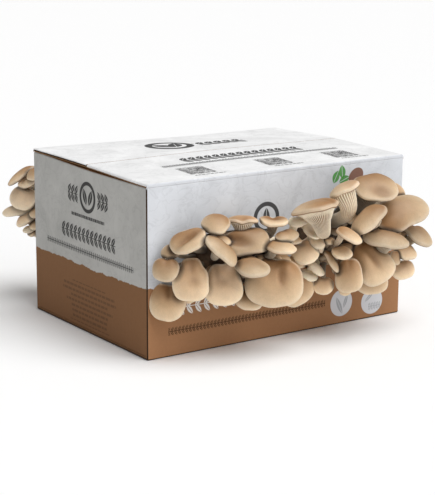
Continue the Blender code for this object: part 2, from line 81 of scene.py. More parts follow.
# The walls' finish: how high the raw foot of the ends and of the long sides is, coloured dark as
# painted shade, and how far the long sides' print goes in over the rim and down from it
END_FOOT = 2.4
SIDE_FOOT = 1.3
RIM_PRINT = (1.2, 2.0)

# The walls' rounded edges, as shares of their crease: how much the rim is rounded
# on the long sides, which the flaps fold over, and how tight the inner corners are
LONG_RIM_INSET = 0.3
INNER_CREASE = 0.4

# Cuts in the board: the floor's seam, its folded ends and the upright corners
HALF_SEAM = 0.5
FOLD_DEPTH = 1.6
FOLD_HEIGHT = 0.7
FOLD_END = 3.0
JOINT_SIZE = (0.9, 1.7)
JOINT_START = 0.6

# The waved paper: half its thickness, and how much of the room it fills
HALF_PAPER = 0.1
FLUTE_FIT = 0.94

# The short flaps: where they end, how far they reach into their wall and stay off
# the long walls. The liners of all flaps stay this far off the next board.
SHORT_FLAP_END = 50.0
SHORT_FLAP_REACH = 0.4
SHORT_FLAP_PLAY = 0.8
LINER_PLAY = 0.05

# The long flaps: their gap over the walls, where their inner liner starts, how far
# their flutes stay in at the cut ends, the crease and the free edge, and how far
# the liner is crushed down over the cut ends of the front and of the back one. The
# lift at their seam has an even share and a waved one, with waves of this length.
FLAP_GAP = 0.08
LINER_START = 1.2
FLUTE_INSETS = (1.2, 2.5, 0.5)
END_FOLD = {-1: 2.0, 1: 0.8}
LIFT_SHARES = (0.8, 0.2)
LIFT_WAVE = 60.0

# How finely the carton is modelled
CORNER_STEPS = 5
EDGE_STEPS = 4
FOLD_STEPS = 6
WALL_STEPS = 26
WALL_RINGS = 16
LAYER_STEPS = 61
CROSS_STEPS = 9
FLUTE_STEPS = 8

# The openings, and where the clusters grow out of them
OPENING = {"width": 92.0, "height": 62.0, "rounding": 18.0}
CLUSTERS = {
    "front_left": {"x": -78.0, "z": 98.0, "side": -1},
    "front_right": {"x": 66.0, "z": 104.0, "side": -1},
    "rear": {"x": -112.0, "z": 104.0, "side": 1},
}

# The block's rounded edges, how much of them it keeps, and how finely it is modelled
BLOCK_ROUNDING = 14.0
BLOCK_FILL = 0.7
BLOCK_POWER = 8
BLOCK_STEPS = 160
BLOCK_RINGS = 60

# The grown bases: how wide each ring of the mound is and how far out it lies
BASE_PROFILE = ((0.94, 0.0), (1.0, 0.05), (1.0, 0.22), (0.92, 0.5), (0.7, 0.8), (0.38, 0.95), (0.0, 1.0))
BASE_POWER = 2.6
BASE_BULGE = 26.0
BASE_PLAY = 1.0
BASE_START = 6.0

# Their lumps: how many around and how high, where they rise, and the soft lumps of
# their skin, with height and size in metres
BASE_LUMPS = (5, 0.06)
BASE_LUMP_RISE = (0.3, 0.6)
BASE_SKIN = {"Unevenness": 0.006, "Lump Size": 0.011}
BASE_STEPS = 96
BASE_RINGS = 40

# How far a stem's root is sunk in its base, how deep in the opening the stems aim
# at, how far under the cap they start and how straight they come out of the base
ROOT_DEPTH = 0.7
HEART_DEPTH = 6.0
SEAT_DROP = 0.6
ROOT_PULL = 0.35

# Every cap: how many waves a wavy edge has, the small waves of any edge (how many
# and how high), how high its surface ripples, and where its dish lies. Heights and
# places are shares of its size, and the back is below zero.
WAVES = 3
UNEVEN_EDGE = ((2, 0.02), (3, 0.02), (5, 0.012), (9, 0.005))
RIPPLE = 0.02
DISH_AT = -0.1

# How wide a cap's features are: its notch and its pinch around the edge, in
# radians from the back, its dish, trough and ridge as shares of its size
NOTCH_SPREAD = 0.45
PINCH_AT = 0.8
PINCH_SPREAD = 0.3
DISH_SPREAD = 0.3
BACK_START = 0.35
TROUGH_SPREAD = 0.26
RIDGE_SPREAD = 0.34

# Under a cap: how much smaller the gills' edge is, how far it hangs under the rim,
# where gills are full, where the short ones end, how much the long ones fade on the
# cap and are left on a stem this wide, how wide and high the stem's flare is, and
# how much thinner the stem gets in its middle
UNDER_SIZE = 0.97
UNDER_DROP = 0.6
GILL_START = 0.16
SHORT_GILL_END = (0.4, 0.75)
LONG_GILL_FADE = 0.35
STEM_GILLS = 0.62
WIDE_STEM = 6.0
FEWEST_PAIRS = 9
FULL_GILL_SIZE = 80.0
FLARE = 1.15
FLARE_HEIGHT = 0.6
WAIST = 0.25

# What a cap is like where its own row says nothing else. Lengths are shares of
# the cap's half width, half length or mean radius, and the edge is in millimetres.
# Tone is how pale it is, partly its own colour and partly painted light: paler for
# caps that sit in shade, browner for caps in full light. Shade is how much its own
# cap darkens its gills. Dents are its own hollows and humps: the middle, two half
# axes, each across and to the front, and the depth, all in millimetres. A negative
# depth is a hump.
PLAIN = {
    "square": 2.3, "taper": 0.0, "notch": 0.12, "wave": 0.0, "wave_turn": 0.0, "pinch": 0.0,
    "droop": 0.16, "droop_front": 0.16, "dish": 0.0, "trough": 0.1, "ridge": 0.0, "roll": 0.18,
    "thick": 0.2, "edge": 5.0, "stalk": 0.16, "seat": 0.45, "bend": 0.5, "foot": 0.9,
    "tone": 1.0, "shade": 0.0, "dents": (),
}


def row(at, facing, spin, size, **shape):
    """One mushroom: the cap's middle, where its top faces (azimuth from -Y
    towards +X, elevation), the turn of its front edge, its width and length."""
    return {"at": at, "azimuth": facing[0], "elevation": facing[1], "spin": spin,
            "width": size[0], "length": size[1], **PLAIN, **shape}


MUSHROOMS = {
    "front_left": [
        row((-88, -193, 111), (-18, 74), 20, (35, 38), trough=0.0, roll=0.19, thick=0.26, tone=0.71,
            dents=(((-6.5, 6.3), (-4.5, 5.5), (3.4, 4.5), 1.4),)),
        row((-59, -192, 87), (-29, 23), -8, (63, 53), square=2.9, wave=0.05, wave_turn=0.6, trough=0.0,
            notch=0.05, taper=0.1, tone=0.95,
            dents=(((-13.0, -13.4), (-0.4, 13.8), (-10.0, 1.4), -7.0),
                   ((-6.6, -4.6), (-1.0, 9.3), (-3.7, 0.5), 4.5))),
        row((-81, -172, 132), (-25, 47), 11, (52, 34), square=2.5, trough=0.0, notch=0.1, seat=0.3,
            tone=0.83,
            dents=(((11.6, -1.0), (-12.5, 8.7), (-3.9, -5.2), 6.0),
                   ((-18.4, -2.0), (-6.0, -3.0), (-1.6, 6.2), -2.0))),
        row((-115, -184, 129), (29, 44), -63, (43, 27), square=2.5, droop=0.24, seat=0.3, notch=0.0,
            stalk=0.12, tone=0.84),
        row((-110, -173, 86), (-28, 16), 3, (40, 46), taper=0.12, trough=0.0, square=2.6, tone=1.3,
            dents=(((2.1, -2.8), (-6.3, 1.9), (1.0, 5.5), 3.0),
                   ((7.9, -10.8), (-0.6, 9.9), (-2.8, 0.0), 1.6))),
        row((-146, -163, 94), (-36, 13), 0, (37, 49), taper=0.18, square=2.5, pinch=0.16, tone=1.14,
            dents=(((-3.6, 2.9), (-5.7, -0.1), (-0.1, 5.5), 2.6),
                   ((-1.7, -12.0), (-4.0, 0.0), (-0.1, 6.9), 1.2))),
        row((-169, -150, 106), (-42, 28), -6, (28, 27), tone=0.84),
        row((-162, -142, 68), (-40, 21), -5, (40, 40), square=2.5, wave=0.03, wave_turn=2.0, tone=1.1,
            dents=(((0.0, -8.7), (-4.2, 0.7), (0.2, 7.1), 2.5),)),
        row((-49, -188, 126), (-18, 80), 40, (29, 35), trough=0.0, edge=4.0),
        row((-147, -157, 136), (-60, 45), 33, (40, 31), trough=0.0, droop=0.02, droop_front=0.02,
            dents=(((-1.2, 0.0), (-14.5, -5.9), (-1.1, 3.9), 4.5),
                   ((-0.2, 9.4), (-13.0, -2.7), (-1.2, 5.1), -2.0))),
        row((-116, -165, 154), (-35, 56), -31, (29, 29), droop=0.24, droop_front=0.24, trough=0.0,
            notch=0.0, tone=0.92),
        row((-44, -169, 147), (-25, 69), -8, (32, 21), droop=-0.15, droop_front=-0.1,
            dents=(((0.9, -4.5), (-11.2, 0.8), (0.3, 5.7), 4.0),)),
        row((-36, -184, 134), (-5, 62), 17, (32, 18), dish=0.05, tone=0.8),
        row((7, -172, 130), (-24, 44), -50, (25, 19), dish=0.36, thick=0.55, droop=-0.2, droop_front=-0.2,
            tone=2.0),
        row((-6, -164, 143), (-10, 66), 15, (27, 16), dish=0.1, tone=2.0),
        row((-73, -152, 151), (145, 79), 0, (35, 26), edge=4.0, stalk=0.2, seat=0.1, notch=0.04, thick=0.6,
            tone=1.15),
        row((-6, -168, 61), (-15, 14), 25, (42, 29)),
        row((-73, -166, 64), (-32, 40), -2, (31, 24)),
        row((-133, -140, 71), (-30, 10), 0, (22, 22)),
        row((-158, -142, 122), (-50, 40), -61, (18, 22), edge=4.0, tone=0.76),
    ],
    "front_right": [
        row((60, -196, 146), (-84, 56), 0, (31, 51), square=2.4, trough=0.0, droop=0.2, tone=0.94),
        row((31, -194, 109), (-14, 62), 5, (23, 21), trough=0.0, tone=1.05),
        row((74, -194, 91), (-26, 30), 33, (44, 54), trough=0.0, notch=0.1, taper=0.2,
            dents=(((8.3, -2.5), (2.5, 16.0), (-7.0, 0.8), -4.0),
                   ((-2.3, 0.2), (0.9, 11.0), (-3.6, 0.3), 3.0))),
        row((40, -196, 79), (-32, 11), 2, (30, 40), taper=0.15, square=2.5, tone=0.94,
            dents=(((7.4, -7.8), (-0.9, 9.7), (-4.1, 0.2), 1.6),)),
        row((91, -197, 120), (-4, 72), -27, (52, 34), trough=0.0, seat=0.1, notch=0.05, droop=0.2,
            tone=0.73),
        row((122, -186, 145), (-19, 50), 112, (43, 77), square=2.4, wave=0.03, droop_front=0.25,
            trough=0.05, tone=0.87),
        row((92, -176, 174), (-16, 60), 4, (51, 46), trough=0.0, droop=0.08, droop_front=0.08, thick=0.62,
            stalk=0.24, bend=0.35, tone=0.94, shade=0.7,
            dents=(((-0.5, 13.5), (-13.6, 6.3), (4.0, 6.2), 4.0),)),
        row((42, -176, 177), (-122, 64), -4, (28, 36), stalk=0.4, seat=-0.15, notch=0.0, trough=0.0,
            foot=0.7, tone=1.25),
        row((0, -180, 164), (-150, 74), 0, (52, 50), droop=0.1, droop_front=0.1, thick=0.72, stalk=0.17,
            seat=0.1, notch=0.0, bend=0.25),
        row((33, -204, 131), (20, 66), -1, (22, 33), edge=4.0, droop=0.2, trough=0.0),
        row((160, -177, 111), (20, 58), -22, (34, 37), seat=0.25, tone=0.75),
        row((136, -180, 94), (-8, 55), 2, (27, 25), tone=0.92),
        row((137, -176, 69), (-16, 24), 6, (30, 23), tone=1.25,
            dents=(((12.3, -1.4), (-3.0, 4.5), (-2.3, -1.2), 1.2),)),
        row((120, -182, 86), (0, 20), -12, (15, 18), edge=4.0, tone=0.86),
        row((87, -180, 63), (-25, 16), 1, (38, 32), tone=1.06),
        row((31, -180, 96), (42, 38), -21, (16, 31), edge=4.0, trough=0.0),
        row((-4, -173, 110), (-30, 48), 26, (31, 31), trough=0.04, tone=1.25,
            dents=(((-0.6, -8.8), (-6.8, 5.1), (1.7, 2.8), 1.2),)),
        row((12, -172, 117), (-40, 66), -87, (18, 22), edge=4.0, tone=1.6),
        row((18, -168, 87), (26, 54), 0, (16, 24), edge=4.0, trough=0.0, tone=1.8),
        row((10, -160, 79), (-30, 62), -91, (20, 26), edge=3.6, tone=1.8),
        row((20, -176, 66), (-35, 16), -1, (23, 20), tone=1.2),
        row((138, -158, 160), (10, 50), 78, (24, 28), edge=4.0, tone=0.95),
    ],
    "rear": [
        row((-161, 192, 155), (-110, 55), 7, (16, 42), droop=0.2, seat=0.3, edge=4.0, tone=0.93),
        row((-163, 190, 128), (-78, 40), -10, (50, 31), droop=0.22, droop_front=0.22, trough=0.0,
            tone=1.3),
        row((-161, 200, 111), (-90, 72), -60, (22, 46), droop=0.2, trough=0.0, edge=4.4, tone=1.5),
        row((-162, 180, 102), (-88, 52), 50, (29, 21), droop=0.2, edge=4.4, tone=1.35),
        row((-157, 176, 89), (-75, 70), 30, (18, 15), edge=4.0, tone=1.9),
        row((-155, 190, 146), (-95, 48), 11, (37, 20), dish=0.05, tone=1.2),
        row((-118, 172, 153), (180, 50), 0, (50, 42), trough=0.2, dish=0.08),
        row((-108, 194, 120), (185, 28), 0, (56, 52), square=2.6, ridge=0.2),
        row((-116, 174, 84), (188, 12), 0, (48, 44), trough=0.24, dish=0.08),
        row((-74, 172, 139), (155, 44), -10, (44, 42), dish=0.14),
        row((-70, 176, 102), (160, 20), -10, (48, 48), trough=0.2, dish=0.14),
    ],
}

# Young mushrooms that can be told apart in the gaps: the cap's middle, where it
# faces, and its width and length
YOUNG = {
    "front_left": (((-90, -163, 92), (-10, 30), (13, 13)), ((-76, -170, 109), (-30, 60), (18, 13)),
                   ((-62, -172, 108), (0, 50), (15, 11)), ((-45, -170, 107), (-20, 66), (20, 14)),
                   ((-105, -158, 132), (-20, 70), (24, 18)), ((-48, -158, 58), (-10, 10), (20, 18)),
                   ((-28, -164, 103), (0, 56), (24, 16))),
    "front_right": (((26, -178, 118), (-10, 66), (14, 12)), ((-13, -166, 122), (-10, 66), (17, 13)),
                    ((11, -160, 112), (-30, 50), (18, 14)), ((0, -156, 94), (-20, 40), (20, 18)),
                    ((60, -168, 55), (-10, 14), (18, 16)), ((122, -160, 74), (0, 20), (20, 17)),
                    ((20, -150, 132), (-60, 60), (22, 18)), ((72, -152, 158), (-20, 40), (22, 20)),
                    ((58, -170, 104), (-20, 50), (18, 15)), ((93, -150, 142), (-30, 40), (24, 20)),
                    ((74, -156, 134), (-10, 50), (20, 16)), ((148, -158, 108), (10, 40), (24, 20)),
                    ((87, -165, 124), (0, 60), (20, 15))),
    "rear": (((-150, 166, 120), (-70, 50), (18, 14)), ((-152, 160, 100), (-80, 40), (16, 13)),
             ((-156, 168, 157), (-80, 40), (22, 18)), ((-155, 165, 112), (-80, 50), (22, 18)),
             ((-156, 166, 96), (-80, 50), (20, 16)), ((-157, 172, 84), (-80, 50), (14, 11))),
}
YOUNG_SHAPE = {"edge": 3.2, "trough": 0.0, "droop": 0.24, "droop_front": 0.24}
YOUNG_STEPS = 3.0
YOUNG_GILLS = 0.0007
YOUNG_UNEVENNESS = 0.0005

# Young mushrooms around the heart of each cluster: how many, and between which
# limits their place, turn, width and shape are drawn
HIDDEN_YOUNG = 12
YOUNG_LIMITS = {"step": (-0.3, 0.3), "x": (22, 46), "z": (16, 32), "out": (24, 38), "width": (13, 20),
                "spin": (-30, 30), "shape": (0.75, 0.95)}
YOUNG_TILT = 35
YOUNG_FOCUS = 40.0

# Rings of one mushroom's surface: shares of the way out over the cap, turns
# around its rounded margin, shares of the way in under it and down the stem
TOP_SHARES = (0.1, 0.22, 0.34, 0.46, 0.57, 0.67, 0.76, 0.84, 0.91, 0.96, 1.0)
MARGIN_START = 0.85
MARGIN_TURNS = (0.6, 0.3, 0.0, -0.4, -0.8, -1.2)
UNDER_SHARES = (0.02, 0.07, 0.13, 0.2, 0.28, 0.37, 0.47, 0.57, 0.68, 0.79, 0.9, 1.0)
STEM_SHARES = (0.08, 0.15, 0.22, 0.3, 0.38, 0.46, 0.55, 0.64, 0.74, 0.84, 0.93, 1.0)
RING_COUNT = len(TOP_SHARES) + len(MARGIN_TURNS) + len(UNDER_SHARES) + len(STEM_SHARES)
STEPS_A_GILL = 4

# A hollow this deep, in millimetres, gets the darkest painted shade. Flesh nearer to an
# opening's middle than this, along each axis, gets the painted shade of the cluster's dark.
HOLLOW_SHADE_DEPTH = 3.2
DEEP_REACH = (80.0, 76.0, 60.0)
DEEP_FADE = (0.5, 1.0)

# Skin gets painted shade where another mushroom stands over it closer than this,
# in millimetres. The rings looked at are those of the cap's top, margin and rim.
CONTACT_SHADE_REACH = 9.0
CONTACT_SHADE_RINGS = len(TOP_SHARES) + len(MARGIN_TURNS) + 3

# The print. In millimetres: how softly ink ends, half a leaf's bare vein and half a
# twig. As shares: how well ink covers, how far a leaf stands off its twig, and half
# the gap between dashes. Each row of dashes starts a number of dashes further on.
INK_SPREAD = 0.25
HALF_VEIN = 0.3
HALF_TWIG = 0.45
INK_COVER = 0.92
LEAF_STAND = 0.62
HALF_GAP = 0.09
LEAF_TURN = radians(-52)
ROW_SHIFT = 17.37

# The stage: the floor's size, the camera's sensor in millimetres, how far it sees,
# and for each light how wide it is, in degrees, and where it comes from
FLOOR_SIZE = 20.0
SENSOR = 36.0
FAR_END = 100.0
LIGHTS = (("key", 50, (0.20, -0.38, 0.90)), ("fill", 70, (0.30, -0.92, 0.26)))

# Settings of nodes that mix colours, that tint one colour, and that step softly
COLOURS = {"data_type": "RGBA"}
TINTED = {**COLOURS, "blend_type": "MULTIPLY"}
SOFT = {"interpolation_type": "SMOOTHSTEP"}


def linear(code):
    """An sRGB hex colour as linear red, green and blue."""
    parts = [int(code[i:i + 2], 16) / 255 for i in (1, 3, 5)]
    return tuple(c / 12.92 if c <= 0.04045 else ((c + 0.055) / 1.055) ** 2.4 for c in parts)


def colour_property(name, description, code):
    """A colour that the user can change."""
    return FloatVectorProperty(name=name, description=description, default=linear(code), size=3,
                               min=0.0, max=1.0, subtype="COLOR")


def length_property(name, description, millimetres):
    """A length that the user can change."""
    return FloatProperty(name=name, description=description, default=millimetres * MM, unit="LENGTH")


class KitCartonSettings(bpy.types.PropertyGroup):
    board: length_property("Board", "Thickness of the corrugated board", 3.5)
    liner: length_property("Liner", "Thickness of one paper liner", 0.5)
    flute_pitch: length_property("Flute pitch", "Width of one wave of the corrugation", 7.5)
    crease: length_property("Crease", "Radius of the folded edges", 1.6)
    bulge: length_property("Bulge", "How far the filled walls stand out in the middle", 1.2)
    flap_rise: length_property("Flap rise", "How far the long flaps stand up at their seam", 4.0)
    band_height: length_property("Band height", "Height of the brown printed band", 77.0)
    pale_ink: colour_property("Pale print", "Upper part of the print", "#D9DCE1")
    # The ends' ground and band are painted darker as shade, the flaps' ground lighter as painted light
    end_ink_shaded: colour_property("End print", "Ground of the print on the ends", "#C0BFBB")
    top_ink_lit: colour_property("Top print", "Ground of the print on the long flaps", "#F5F5F5")
    brown_ink: colour_property("Brown print", "Lower band of the print", "#A27653")
    end_brown_shaded: colour_property("End band", "Lower band of the print on the ends", "#8A6343")
    dark_ink: colour_property("Dark ink", "Marks on the pale print", "#2B2A2A")
    white_ink: colour_property("White ink", "Marks on the brown band", "#F2EFEA")
    leaf_ink: colour_property("Green ink", "The printed sprig", "#4A953B")
    kraft: colour_property("Kraft", "Bare board", "#A9815A")
    # Darker than bare kraft: raw cut edges with painted shade, also used in the joints and at the walls'
    # foot
    shaded_cut_edge: colour_property("Cut edge", "Cut edges of the board, dark between their flutes", "#4A3626")


class KitMushroomSettings(bpy.types.PropertyGroup):
    gill_pitch: length_property("Gill pitch", "Distance of the gills at the margin", 1.8)
    gill_height: length_property("Gill height", "How far the gills stand out", 1.3)
    unevenness: length_property("Unevenness", "Height of the skin's soft lumps", 0.7)
    lump_size: length_property("Lump size", "Width of the skin's soft lumps", 16.0)
    seed: IntProperty(name="Seed", description="Start of the random shapes", default=7)
    cap: colour_property("Cap", "Skin of the cap towards its free margin", "#EACEA9")
    back: colour_property("Back of the cap", "Skin over the stem", "#A97D52")
    rim: colour_property("Margin", "Thin pale margin of the cap", "#F1E0C6")
    # Painted shade in the cap's hollows
    hollow: colour_property("Hollow", "Skin in hollows", "#8C633E")
    gills: colour_property("Gills", "Edges of the gills", "#F8EAD2")
    gill_depth: colour_property("Between gills", "Shaded flesh between the gills", "#97785A")
    stem: colour_property("Stem", "Flesh of the stem", "#F8E9D0")
    # Painted shade deep in the cluster, on gills, stem, skin and the grown bases
    deep: colour_property("Deep flesh", "Painted shade deep in the cluster", "#33241A")


class KitStageSettings(bpy.types.PropertyGroup):
    camera_place: FloatVectorProperty(name="Camera", description="Where the camera stands", unit="LENGTH",
                                      default=(-0.96513, -1.40285, 0.47292))
    yaw: FloatProperty(name="Yaw", description="Camera's turn from +Y towards +X", subtype="ANGLE",
                       default=radians(34.524))
    pitch: FloatProperty(name="Pitch", description="Camera's tilt", subtype="ANGLE",
                         default=radians(-13.092))
    roll: FloatProperty(name="Roll", description="Camera's roll", subtype="ANGLE",
                        default=radians(0.287))
    lens: FloatProperty(name="Lens", description="Focal length for a 36 mm sensor", unit="CAMERA",
                        default=107.85)
    sky: FloatProperty(name="Sky", description="Strength of the even light", default=0.27)
    key: FloatProperty(name="Key", description="Strength of the main light", default=2.35)
    fill: FloatProperty(name="Fill", description="Strength of the light from the front", default=0.8)
    floor: colour_property("Floor", "The pale floor", "#FFFFFF")


# Nodes

def feed(tree, made, inputs):
    """Set or link a node's inputs, given by name in a dict or in their order. A node stands for its
    first output in use."""
    in_use = [socket for socket in made.inputs if socket.enabled]
    for key, value in inputs.items() if isinstance(inputs, dict) else enumerate(inputs):
        socket = made.inputs[key] if isinstance(key, str) else in_use[key]
        if isinstance(value, bpy.types.Node):
            value = next(output for output in value.outputs if output.enabled)
        if isinstance(value, bpy.types.NodeSocket):
            tree.links.new(value, socket)
        else:
            socket.default_value = value


def add(tree, kind, *inputs, **settings):
    """A new node. Its kind is named without ShaderNode, with its operation after it where it has one."""
    kind, _, operation = kind.partition(" ")
    made = tree.nodes.new(kind if kind.startswith("Geometry") else "ShaderNode" + kind)
    if operation:
        made.operation = operation
    for name, value in settings.items():
        setattr(made, name, value)
    feed(tree, made, inputs[0] if inputs and isinstance(inputs[0], dict) else inputs)
    return made


def group_tree(name, kind, inputs, output):
    """A node group: what adds its nodes, its inputs by name, and what links its output."""
    tree = bpy.data.node_groups.new(name, kind)
    sockets = {float: "Float", tuple: "Vector", bool: "Bool"}
    for label, default in inputs.items():
        made = tree.interface.new_socket(label, in_out="INPUT",
                                         socket_type="NodeSocket" + sockets.get(type(default), label))
        if default is not None:
            made.default_value = default
    tree.interface.new_socket(output, in_out="OUTPUT",
                              socket_type="NodeSocketFloat" if output == "Mark" else "NodeSocketGeometry")
    given = tree.nodes.new("NodeGroupInput").outputs
    return partial(add, tree), given, partial(feed, tree, tree.nodes.new("NodeGroupOutput"))


def new_material(name):
    """A material, what adds its nodes, and what feeds its shader."""
    made = bpy.data.materials.new(name)
    made.use_nodes = True
    tree = made.node_tree
    return made, partial(add, tree), partial(feed, tree, tree.nodes["Principled BSDF"])


def rgba(colour):
    """A colour with full alpha."""
    return (*colour, 1.0)


# Meshes

def unit(vector):
    """The vector at length one."""
    return vector / np.linalg.norm(vector)


def ease(start, end, value):
    """A soft step from 0 at start to 1 at end."""
    share = np.clip((value - start) / (end - start), 0.0, 1.0)
    return share * share * (3.0 - 2.0 * share)


def lofted(name, rings, start=None, end=None):
    """A closed mesh through rings of points in millimetres. An end is a pole where a point is given,
    and one flat face where none is."""
    rings = np.asarray(rings, float)
    count, steps = rings.shape[:2]
    points = [rings.reshape(-1, 3)]
    index = np.arange(count * steps).reshape(count, steps)
    around = np.roll(index, -1, axis=1)
    faces = np.stack([index[:-1], index[1:], around[1:], around[:-1]], axis=-1).reshape(-1, 4).tolist()
    for pole, ring, flip in ((start, 0, False), (end, count - 1, True)):
        edge = index[ring].tolist()
        if pole is None:
            faces.append(edge[::-1] if flip else edge)
            continue
        tip = count * steps + len(points) - 1
        points.append(np.asarray(pole, float).reshape(1, 3))
        for pair in zip(edge, edge[1:] + edge[:1]):
            faces.append([tip, *(pair[::-1] if flip else pair)])
    mesh = bpy.data.meshes.new(name)
    mesh.from_pydata(np.concatenate(points) * MM, [], faces)
    mesh.update()
    face_out(mesh)
    return mesh


def face_out(mesh):
    """Turn a closed mesh that is inside out."""
    bm = bmesh.new()
    bm.from_mesh(mesh)
    if bm.calc_volume(signed=True) < 0:
        bmesh.ops.reverse_faces(bm, faces=bm.faces)
        bm.to_mesh(mesh)
    bm.free()


def made_mesh(name, bm):
    """A mesh of what a bmesh holds, which is freed."""
    mesh = bpy.data.meshes.new(name)
    bm.to_mesh(mesh)
    bm.free()
    return mesh


def add_piece(name, mesh, *finishes):
    """An object for a mesh, with its materials."""
    made = bpy.data.objects.new(name, mesh)
    bpy.context.scene.collection.objects.link(made)
    for finish in finishes:
        mesh.materials.append(finish)
    return made


def drop(pieces):
    """Remove pieces that are used up."""
    for piece in pieces:
        mesh = piece.data
        bpy.data.objects.remove(piece)
        bpy.data.meshes.remove(mesh)


def settle(piece, body, slot, *nodes):
    """Tell the frame which body a piece rides on and what it stands for."""
    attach(piece, body)
    if nodes:
        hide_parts(*nodes)


def baked(piece):
    """The piece with its modifiers turned into a plain mesh."""
    bpy.context.view_layer.update()
    depsgraph = bpy.context.evaluated_depsgraph_get()
    mesh = bpy.data.meshes.new_from_object(piece.evaluated_get(depsgraph), preserve_all_data_layers=True,
                                           depsgraph=depsgraph)
    piece.modifiers.clear()
    old = piece.data
    piece.data = mesh
    bpy.data.meshes.remove(old)
    mesh.name = piece.name
    return piece


def shaped(piece, tree, values):
    """Run a geometry tree on a piece, its inputs given by name."""
    modifier = piece.modifiers.new(tree.name, "NODES")
    modifier.node_group = tree
    for item in tree.interface.items_tree:
        if item.item_type == "SOCKET" and item.in_out == "INPUT" and item.name in values:
            modifier[item.identifier] = values[item.name]
    return baked(piece)


def cut(piece, cutters):
    """Cut a piece by other objects, which are used up."""
    for cutter in cutters:
        modifier = piece.modifiers.new(cutter.name, "BOOLEAN")
        modifier.operation = "DIFFERENCE"
        modifier.object = cutter
    baked(piece)
    drop(cutters)


def block(name, low, high, finish, rounding=0.0):
    """A box between two corners in millimetres, with its edges along Y rounded."""
    low, high = Vector(low) * MM, Vector(high) * MM
    bm = bmesh.new()
    bmesh.ops.create_cube(bm, size=1.0)
    bmesh.ops.scale(bm, vec=high - low, verts=bm.verts)
    bmesh.ops.translate(bm, vec=(low + high) / 2, verts=bm.verts)
    if rounding:
        edges = [e for e in bm.edges if abs(e.verts[1].co.y - e.verts[0].co.y) > 1e-6]
        bmesh.ops.bevel(bm, geom=edges, offset=rounding * MM, segments=6, profile=0.5, affect="EDGES")
    return add_piece(name, made_mesh(name, bm), finish)


def joined(name, pieces):
    """One piece made from several, with their materials."""
    bm = bmesh.new()
    finishes = []
    for piece in pieces:
        first = len(bm.faces)
        bm.from_mesh(piece.data)
        bm.faces.ensure_lookup_table()
        slots = list(piece.data.materials)
        finishes = list(dict.fromkeys([*finishes, *slots]))
        for face in bm.faces[first:]:
            face.material_index = finishes.index(slots[face.material_index])
    mesh = made_mesh(name, bm)
    drop(pieces)
    return add_piece(name, mesh, *finishes)


# Printed marks, as shader groups on a panel's own coordinates in millimetres

def mark_start(name, sizes):
    """A group that starts with a place turned about a mark's middle."""
    origin = (0.0, 0.0, 0.0)
    node, given, finish = group_tree(name, "ShaderNodeTree",
                                     {"Place": origin, "Middle": origin, "Turn": 0.0, **sizes}, "Mark")
    offset = node("VectorMath SUBTRACT", given["Place"], given["Middle"])
    turned = node("VectorRotate", {"Vector": offset, "Angle": given["Turn"]}, rotation_type="Z_AXIS")
    return node, given, finish, turned


def mark_end(node, finish, inside):
    """Finish a mark from how far inside it a place is, with a soft printed edge."""
    finish([node("MapRange", inside, -INK_SPREAD, INK_SPREAD, **SOFT)])


def leaf_mark():
    """A pointed leaf with a bare middle vein."""
    node, given, finish, turned = mark_start("leaf_mark", {"Half length": 8.0, "Half width": 3.0})
    x, y, _ = node("SeparateXYZ", turned).outputs
    along = node("Math DIVIDE", x, given["Half length"])
    left = node("Math SUBTRACT", 1.0, node("Math MULTIPLY", along, along))
    wide = node("Math MULTIPLY", left, given["Half width"])
    side = node("Math ABSOLUTE", y)
    inside = node("Math SUBTRACT", wide, side)
    vein = node("Math SUBTRACT", side, HALF_VEIN)
    mark_end(node, finish, node("Math MINIMUM", inside, vein))


def ring_mark():
    """A ring, or a disc where its line is as wide as its radius."""
    node, given, finish, turned = mark_start("ring_mark", {"Radius": 10.0, "Line": 1.0, "Squash": 1.0})
    flat = node("VectorMath MULTIPLY", turned, node("CombineXYZ", 1.0, given["Squash"]))
    off = node("Math SUBTRACT", node("VectorMath LENGTH", flat), given["Radius"])
    mark_end(node, finish, node("Math SUBTRACT", given["Line"], node("Math ABSOLUTE", off)))


def sprig_mark():
    """A straight twig with leaves to both sides, repeated along it."""
    node, given, finish, turned = mark_start("sprig_mark", {
        "Half length": 60.0, "Pitch": 9.0, "Leaf length": 6.0, "Leaf width": 2.2})
    x, y, _ = node("SeparateXYZ", turned).outputs
    side = node("Math ABSOLUTE", y)
    half = node("Math MULTIPLY", given["Pitch"], 0.5)
    cell = node("Math WRAP", x, node("Math MULTIPLY", half, -1.0), half)
    reach = node("Math MULTIPLY", given["Leaf length"], LEAF_STAND)
    leaf = node("Group", {"Place": node("CombineXYZ", cell, side), "Middle": node("CombineXYZ", 0.0, reach),
                          "Turn": LEAF_TURN, "Half length": given["Leaf length"],
                          "Half width": given["Leaf width"]}, node_tree=bpy.data.node_groups["leaf_mark"])
    marks = node("Math MAXIMUM", leaf, node("Math LESS_THAN", side, HALF_TWIG))
    near = node("Math LESS_THAN", node("Math ABSOLUTE", x), given["Half length"])
    finish([node("Math MULTIPLY", marks, near)])


